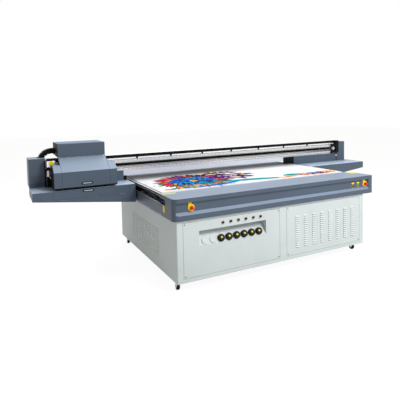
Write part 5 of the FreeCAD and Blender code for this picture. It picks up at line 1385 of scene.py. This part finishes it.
@dataclass
class Table(SubAssembly):
    """Slate surround, bed, marking tape, switches and the gantry's drive inside."""

    skirt_height: float = 0.124
    skirt_out: float = 0.0025
    side_reach: float = 0.002
    tape_thickness: float = 0.0004
    strip_rise: float = 0.0029
    flange_rise: float = 0.0081
    rear_margin: float = 0.006

    def dress_sheets(self) -> None:
        """Finish the surround, the bed and the drive."""
        dress, repaint = self.dresser.dress, self.dresser.repaint
        self.dresser.dress_slate("apron_front", soft=0.004)
        corner = Extent.of("bed").hi.x
        # Faces looking to -X past the bed's corner take the lighter top finish too: painted light on a face
        # that lies in shade.
        repaint("apron_front", 1, lambda centre, normal: normal.x < -STEEP and centre.x > corner)
        self.dresser.dress_slate("table_skirts")
        dress("bed", "bed_face", "black_coat", soft=0.001, slot="aluminium")
        side = corner - self.side_reach
        repaint("bed", 1, lambda centre, normal: abs(centre.x) > side and abs(normal.x) > STEEP)
        dress("y_rails", "black_coat", slot="steel")
        for node in ("y_screw_left", "y_screw_right"):
            dress(node, "ground_steel", slot="steel")

    def build_tape(self) -> None:
        """Strips of yellow marking tape at the bed's front corners."""
        bed, top = Extent.of("bed"), Extent.of("apron_front").hi.z
        shape = Shaper("corner_marking_tape")
        for left, right, setback, wide in ((bed.lo.x + 0.008, bed.lo.x + 0.158, 0.074, 0.040),
                                           (bed.hi.x, bed.hi.x + 0.086, 0.130, 0.090)):
            front = bed.lo.y - setback
            shape.block((left, front, top), (right, front + wide, top + self.tape_thickness))
        self.put(shape, "base", "marking_tape")

    def build_skirt_trims(self) -> None:
        """Bright wear strips under the gantry's slots, and the bare flange along both skirts' lower edges."""
        box, bed = Extent.of("table_skirts"), Extent.of("bed")
        rear = box.hi.y - self.rear_margin
        top, low = box.lo.z + self.skirt_height + 0.0001, box.lo.z + 0.0004
        shape = Shaper("skirt_wear_strips")
        for outer, inward in ((bed.lo.x - self.skirt_out, 1), (bed.hi.x + self.skirt_out, -1)):
            left, right = sorted((outer - inward * 0.0012, outer + inward * 0.012))
            shape.block((left, bed.lo.y + 0.004, top), (right, rear, top + self.strip_rise), 0, 0.0006)
        for outer, inward in ((box.lo.x, 1), (box.hi.x, -1)):
            left, right = sorted((outer + inward * 0.0018, outer + inward * 0.006))
            shape.block((left, bed.lo.y - 0.02, low), (right, rear, low + self.flange_rise), 1, 0.0004)
        self.put(shape, "base", "ground_steel", "bright_extrusion")

    def build_side_plate(self) -> None:
        """Plain yellow marker plate on the left skirt."""
        skirt = Extent.of("table_skirts").lo
        front = Extent.of("bed").lo.y
        shape = Shaper("skirt_marker_plate")
        shape.block((skirt.x + 0.0030, front - 0.1405, skirt.z + 0.048),
                    (skirt.x + 0.0042, front - 0.0935, skirt.z + 0.116), 0, 0.0004)
        self.put(shape, "base", "yellow_gloss")

    def build_switch(self, node: str, head: Head, finish: str, slot: str) -> None:
        """Turn the head of one switch, in the place of its frame node.

        Args:
            node: The switch's frame node, which its body is named after.
            head: The kind of head.
            finish: Finish name.
            slot: The record's material slot.
        """
        ending, steps, outline = head.value
        box = Extent.of(node)
        radius, rise = box.size.x / 2, box.size.y
        shape = Shaper(node + ending)
        shape.turn([(radius * wide, rise * high) for wide, high in outline],
                   Vector((box.middle.x, box.hi.y, box.middle.z)), FORWARD, steps)
        self.put(shape, node, finish, replaces=(node,), slot=slot)

    def build_switches(self) -> None:
        """Housings, both emergency stops and both buttons."""
        self.dresser.dress("switch_housings", "yellow_gloss", soft=0.0008, slot="yellow_plastic")
        self.build_switch("estop_left", Head.MUSHROOM, "red_gloss", "red_plastic")
        self.build_switch("estop_right", Head.MUSHROOM, "red_gloss", "red_plastic")
        self.build_switch("start_button", Head.BUTTON, "green_gloss", "green_plastic")
        self.build_switch("stop_button", Head.BUTTON, "black_moulding", "black_plastic")

    def build(self) -> None:
        """Build and dress the table."""
        self.dress_sheets()
        self.build_tape()
        self.build_skirt_trims()
        self.build_side_plate()
        self.build_switches()


@dataclass
class Gantry(SubAssembly):
    """Beam, rails, belt, end pillars, legs, service tray and shelf."""

    fascia_height: float = 0.066
    fascia_depth: float = 0.0045
    groove_up: float = 0.138
    groove_half: float = 0.0165
    groove_depth: float = 0.0165
    upper_rail_shade: Range = (0.0008, 0.0058)
    lower_rail_shade: Range = (0.0208, 0.0250)
    slot_proud: float = 0.0003
    slot_sink: float = 0.0002
    cover_height: float = 0.0335
    cover_rise: float = 0.0020
    cover_proud: float = 0.0006
    right_margin: float = 0.020
    upstand_rise: float = 0.017
    strip_skin: float = 0.003
    shoe_width: float = 0.204
    shoe_height: float = 0.092
    bolt_pitch: float = 0.06
    bolt_up: float = 0.010
    bolt_sink: float = 0.0006
    knob_inset: float = 0.111
    knob_drop: float = 0.004
    clip_inset: float = 0.148
    clip_width: float = 0.008
    clip_height: float = 0.024
    clip_depth: float = 0.010
    shade_sheet_back: float = 0.064
    shade_sheet_skin: float = 0.0015
    seam_half: float = 0.0011
    door_pull: tuple[float, float, float] = (-0.0513, 0.0085, -0.0135)

    def dress_sheets(self) -> None:
        """Finish the gantry's frame nodes."""
        dress, repaint = self.dresser.dress, self.dresser.repaint
        for node in ("service_tray", "right_shelf"):
            self.dresser.dress_slate(node, top="slate_coat_shelf")
        for node in ("tray_door", "end_pillars"):
            self.dresser.dress_slate(node)
        dress("gantry_legs", "black_coat", soft=0.002, slot="black_paint")
        dress("gantry_blocks", "zinc_steel", soft=0.001, slot="steel")
        dress("cap_station", "grey_moulding", soft=0.0006, slot="grey_rubber")
        dress("beam", "bright_extrusion", "pale_fascia", "black_coat", slot="beam_metal")
        beam = Extent.of("beam").lo
        top, groove = beam.z + self.fascia_height, beam.z + self.groove_up
        repaint("beam", 1, lambda centre, normal: centre.z < top
                and centre.y < beam.y + self.fascia_depth)
        # Faces in the belt groove take the black finish: painted shade in the recess.
        repaint("beam", 2, lambda centre, normal: abs(centre.z - groove) < self.groove_half
                and centre.y < beam.y + self.groove_depth)
        dress("x_rails", "ground_steel", slot="steel")
        dress("x_belt", "belt_rubber", slot="black_rubber")
        for node in ("drive_pulley", "idler_pulley"):
            dress(node, "satin_aluminium", soft=0.0004, slot="aluminium")
        dress("x_drive_mounts", "black_coat", soft=0.001, slot="black_paint")
        dress("chain_trough", "black_coat", soft=0.0006, slot="black_paint")

    def build_beam_lines(self) -> None:
        """Dark strips above both rails, painted shade standing for slots, and the black cover strip along the
        beam's upper edge.
        """
        beam, rails, trough = Extent.of("beam"), Extent.of("x_rails"), Extent.of("chain_trough")
        front, back = rails.hi.y - self.slot_proud, rails.hi.y + self.slot_sink
        shape = Shaper("beam_slots")
        for rail, (low, high) in ((rails.hi.z, self.upper_rail_shade), (rails.lo.z, self.lower_rail_shade)):
            shape.block((rails.lo.x, front, rail + low), (rails.hi.x, back, rail + high))
        front, back = trough.lo.y - self.cover_proud, trough.lo.y + self.slot_sink
        shape.block((beam.lo.x + 0.002, front, beam.hi.z - self.cover_height),
                    (beam.hi.x - self.right_margin, back, beam.hi.z + self.cover_rise), 1, 0.0002)
        self.put(shape, "gantry", "seam_shadow", "black_coat")

    def build_shelf_strips(self) -> None:
        """Slate strip on the right shelf's upstand, and the black plates at both its ends."""
        shelf, beam = Extent.of("right_shelf"), Extent.of("beam")
        back = beam.lo.y - 0.0001
        front, low, top = back - self.strip_skin, shelf.hi.z - 0.002, shelf.hi.z + self.upstand_rise
        foot = Extent.of("gantry_legs").hi.z - self.shoe_height
        end, gap = beam.hi.x - self.right_margin, 0.0002
        shape = Shaper("shelf_strips")
        shape.block((shelf.lo.x, front, low), (end, back, top), 0, 0.0006)
        shape.block((shelf.lo.x - self.shoe_width, front, foot), (shelf.lo.x - gap, back, top), 1, 0.0006)
        shape.block((end + gap, front, low), (beam.hi.x - 0.0005, back, Extent.of("x_rails").lo.z - 0.0005),
                    1, 0.0006)
        self.put(shape, "gantry", "slate_coat", "black_coat")

    def build_left_fittings(self) -> None:
        """What stands on the beam's left end: sensor box with its knob, oiler, roller and stay."""
        plate = Extent.of("x_drive_mounts")

        def at(across: float, back: float, up: float) -> Vector:
            """A place measured from the end bracket's low front corner."""
            return plate.lo + Vector((across, back, up))

        shape = Shaper("left_end_fittings")
        # sensor box and its knob
        shape.block(at(0.001, -0.0185, 0.1660), at(0.094, 0, 0.2360), 0, 0.003)
        shape.turn([(0, 0), (0.0240, 0), (0.0262, 0.0020), (0.0262, 0.0060), (0.0225, 0.0085), (0, 0.0085)],
                   at(0.050, -0.0185, 0.2080), FORWARD, 28, 1)
        # roller
        shape.turn([(0, 0), (0.0195, 0), (0.0195, 0.014), (0.016, 0.018), (0, 0.018)],
                   at(0.0185, 0, 0.1465), FORWARD, 24, 2)
        # oiler on its holder, and the stay below it
        shape.turn([(0, 0), (0.0110, 0), (0.0170, 0.004), (0.0170, 0.062), (0.0150, 0.068),
                    (0.0080, 0.069), (0.0080, 0.073), (0, 0.073)], at(0.0180, -0.0172, 0.0580),
                   Vector((0, 0, 1)), 24, 3)
        shape.block(at(0.004, -0.0010, 0.0640), at(0.032, 0, 0.1240), 2, 0.0004)
        shape.sweep([at(0.030, 0.001, 0.0570), at(0.052, 0.001, 0.0220), at(0.075, 0.001, -0.0140)],
                    0.0065, 10, 3)
        # cover plate over the sensor box, and the dark sheet behind the stay
        shape.block(at(0.001, -0.0040, 0.2365), at(0.108, 0, 0.2660), 2, 0.001)
        shape.block(at(0.004, 0.0100, -0.0690), at(0.096, 0.0118, 0.0740), 4, 0.0004)
        self.put(shape, "gantry", "bright_extrusion", "yellow_gloss", "black_moulding", "satin_aluminium",
                 "dark_bore")

    def build_right_fittings(self) -> None:
        """Buffer knob and cable clip at the beam's right end."""
        rails, right = Extent.of("x_rails"), Extent.of("x_drive_mounts").hi.x
        face = rails.hi.y
        shape = Shaper("right_end_fittings")
        shape.turn([(0, 0), (0.0120, 0), (0.0120, 0.012), (0.0225, 0.013), (0.0250, 0.016),
                    (0.0250, 0.023), (0.0190, 0.027), (0, 0.027)],
                   Vector((right - self.knob_inset, face, rails.hi.z - self.knob_drop)), FORWARD, 28, 0)
        left, low = right - self.clip_inset, rails.lo.z + self.bolt_up
        shape.block((left, face - self.clip_depth, low),
                    (left + self.clip_width, face + self.slot_sink, low + self.clip_height), 1, 0.001)
        self.put(shape, "gantry", "satin_aluminium", "black_moulding")

    def build_tray_shade_sheet(self) -> None:
        """Dark sheet across the tray behind the cap station, painted shade where the tray's inside lies in
        shadow, and the seal beside the left pillar.
        """
        tray, pillar = Extent.of("service_tray"), Extent.of("end_pillars").lo
        rear, top = Extent.of("cap_station").hi.y + self.shade_sheet_back, pillar.z + 0.0095
        left, right = tray.lo.x + 0.005, tray.hi.x - 0.006
        shape = Shaper("tray_lining")
        shape.prism([(left, tray.lo.z + 0.132), (right, tray.lo.z + 0.010), (right, top), (left, top)],
                    Axis.Y, rear, rear + self.shade_sheet_skin)
        seal = Extent.of("x_drive_mounts").lo.x
        shape.block((seal - 0.018, pillar.y + 0.001, pillar.z + 0.0145),
                    (seal + 0.001, pillar.y + 0.006, pillar.z + 0.3), 0, 0.0006)
        self.put(shape, "gantry", "dark_bore")

    def build_pillar_seams(self) -> None:
        """Joint lines of the left pillar's front covers."""
        pillar, right = Extent.of("end_pillars").lo, Extent.of("x_drive_mounts").lo.x - 0.006
        shape = Shaper("pillar_seams")
        for up in (pillar.z + 0.065, pillar.z + 0.146):
            shape.block((pillar.x + 0.0015, pillar.y - 0.0002, up - self.seam_half),
                        (right, pillar.y + 0.0004, up + self.seam_half))
        self.put(shape, "gantry", "seam_shadow")

    def build_rail_bolts(self) -> None:
        """Sunk bolts along both carriage rails."""
        box = Extent.of("x_rails")
        shape = Shaper("rail_bolts")
        for up in (box.lo.z + self.bolt_up, box.hi.z - self.bolt_up):
            for step in range(int(box.size.x / self.bolt_pitch)):
                centre = Vector((box.lo.x + self.bolt_pitch * (step + 0.5), box.lo.y + self.bolt_sink, up))
                shape.turn([(0.0046, -0.0004), (0.0046, 0.0009), (0.0022, 0.0009), (0.0020, 0.0002),
                            (0, 0.0002)], centre, FORWARD, 10)
        self.put(shape, "gantry", "dark_bore")

    def build(self) -> None:
        """Build and dress the gantry."""
        self.dress_sheets()
        self.build_rail_bolts()
        self.build_beam_lines()
        self.build_shelf_strips()
        self.build_left_fittings()
        self.build_right_fittings()
        self.build_tray_shade_sheet()
        self.build_pillar_seams()
        door = Extent.of("tray_door")
        edge = Vector((door.middle.x, door.lo.y, door.hi.z))
        Pull().build(self, "tray_door", edge + Vector(self.door_pull))


@dataclass
class EnergyChain(SubAssembly):
    """Linked cable carrier: its lower run, the half turn and the run to the carriage."""

    link_count: int = 38
    folded: float = 0.110
    plate: float = 0.008
    web: float = 0.003
    web_inset: float = 0.2
    link_height: float = 0.060
    clearance: float = 0.0006
    plate_share: float = 0.94
    turn_travel: float = 1.860

    def spread(self, share: float) -> float:
        """Place along the folded run that travels with this share of the carriage."""
        return 2 * (0.5 - math.sin(math.asin(1 - 2 * share) / 3)) - 1

    def build_upper_run(self) -> None:
        """Links from the half turn to the carriage, stacked on the slide's stub at rest.
        """
        bend = Extent.of("chain_bend")
        left, near, far = bend.hi.x, bend.lo.y - self.clearance, bend.hi.y + self.clearance
        high, low = bend.hi.z + self.clearance, bend.hi.z - self.link_height - self.clearance
        shape = Shaper("chain_upper_run")
        for number in range(self.link_count):
            first = 0.5 + 0.5 * number / self.link_count
            last = first + 0.5 * self.plate_share / self.link_count
            start, end = (left + self.folded * self.spread(share) for share in (first, last))
            inset = (end - start) * self.web_inset
            for inner, outer in ((near, near + self.plate), (far - self.plate, far)):
                shape.block((start, inner, low), (end, outer, high))
            for up in (low + self.web, high - 2 * self.web):
                shape.block((start + inset, near + self.plate, up),
                            (end - inset, far - self.plate, up + self.web))
        run = self.put(shape, "", "black_moulding")
        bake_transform(run)

    def build_lower_run(self) -> None:
        """The frame's lower run, as a black copy that rides on the gantry."""
        node, box = self.dresser.nodes["chain_lower_run"], Extent.of("chain_lower_run")
        run = bpy.data.objects.new("chain_lower_links", node.data.copy())
        run.data.materials.clear()
        run.data.materials.append(self.finishes["black_moulding"])
        run.matrix_world = node.matrix_world
        bpy.context.scene.collection.objects.link(run)
        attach(run, "gantry")
        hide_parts("chain_lower_run")
        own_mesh(run)
        LOG.info("piece %s on %s", run.name, "gantry")

    def build(self) -> None:
        """Dress the half turn, and build the two runs."""
        self.dresser.dress("chain_bend", "black_moulding", soft=0.0015, slot="black_plastic")
        self.build_lower_run()
        self.build_upper_run()


@dataclass
class Carriage(SubAssembly):
    """Print carriage: slide, head plate, heads, lamps, covers and the sloping lid."""

    stub_height: float = 0.090
    stub_reach: float = 0.004
    hinge_depth: float = 0.010
    hinge_height: float = 0.012
    crown_depth: float = 0.01
    lip_height: float = 0.0125
    lip_proud: float = 0.0008
    lip_depth: float = 0.0040
    lip_gap: float = 0.0002
    lid_inset: float = 0.002
    wing_inset: float = 0.001
    pull_aside: float = 0.0045
    pull_up: float = 0.043

    def dress_sheets(self) -> None:
        """Finish the slide, the heads, the lamps and the covers."""
        dress, repaint = self.dresser.dress, self.dresser.repaint
        dress("carriage_slide", "satin_aluminium", "black_moulding", soft=0.0008, slot="aluminium")
        stub = Extent.of("chain_bend")
        repaint("carriage_slide", 1, lambda centre, normal: centre.z > stub.hi.z - self.stub_height
                and centre.y > stub.lo.y - self.stub_reach)
        dress("head_plate", "satin_aluminium", soft=0.0008, slot="aluminium")
        dress("print_heads", "grey_moulding", soft=0.0006, slot="head_plastic")
        dress("uv_lamps", "black_coat", soft=0.001, slot="black_paint")
        self.dresser.dress_slate("carriage_cover", "slate_coat_crown", soft=0.0016, top="slate_coat_slope")
        self.dresser.dress_slate("carriage_lid", soft=0.0016, top="slate_coat_slope")
        # Faces that look to -X, away from the key light, take the black finish: painted shade.
        repaint("carriage_cover", 2, lambda centre, normal: normal.x < -STEEP)
        # The highest upward faces take the crown's lighter copy of the slate: painted highlight.
        crown = Extent.of("carriage_cover").hi.z - self.crown_depth
        repaint("carriage_cover", 3, lambda centre, normal: normal.z > STEEP and centre.z > crown)
        hinge = Extent.of("carriage_lid").hi
        repaint("carriage_lid", 2, lambda centre, normal: hinge.y - centre.y < self.hinge_depth
                and hinge.z - centre.z < self.hinge_height)

    def build_lips(self) -> None:
        """Black rubber lips along the lower edges of the lid and of both wings."""
        lid, cover = Extent.of("carriage_lid"), Extent.of("carriage_cover")
        low, front = cover.lo.z + self.lip_gap, cover.lo.y
        top, under = low + self.lip_height, lid.lo.z - self.lip_gap
        inner, outer = front + self.lip_depth, front - self.lip_proud
        shape = Shaper("lid_lip")
        shape.prism([(outer, top), (outer, low), (inner, low), (inner, under), (front, under), (front, top)],
                    Axis.X, lid.lo.x + self.lid_inset, lid.hi.x - self.lid_inset)
        self.put(shape, "carriage_lid", "belt_rubber")
        shape = Shaper("wing_lips")
        for left, right in ((cover.lo.x, lid.lo.x), (lid.hi.x, cover.hi.x)):
            shape.block((left + self.wing_inset, outer, low),
                        (right - self.wing_inset, front, top), 0, 0.0003)
        self.put(shape, "head_carriage", "belt_rubber")

    def build(self) -> None:
        """Build and dress the carriage."""
        self.dress_sheets()
        lid = Extent.of("carriage_lid")
        front = Extent.of("carriage_cover").lo.y
        seat = Vector((lid.middle.x + self.pull_aside, front, lid.lo.z + self.pull_up))
        Pull().build(self, "carriage_lid", seat)
        self.build_lips()


def ink_finishes() -> tuple[Finish, ...]:
    """One finish for each printed ink."""
    return tuple(Finish(ink.finish, srgb(*ink.value), 0.7, specular=0.06, grain_scale=500.0, cloud=0.12,
                        wear=0.0, dust=0.0) for ink in Ink)


def main() -> None:
    """Load the frame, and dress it."""
    logging.basicConfig(level=logging.INFO, format="%(name)s: %(message)s")
    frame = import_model()
    effects = Effects()
    finishes = {f.name: f.build(effects) for f in FINISHES + ink_finishes()}
    dresser = Dresser(finishes, frame["nodes"])
    Studio().build()
    for part in (Cabinet, RunningGear, PrintedBoard, Table, Gantry, EnergyChain, Carriage):
        part(finishes, dresser).build()
        LOG.info("%s dressed", part.__name__)


if __name__ == "__main__":
    main()
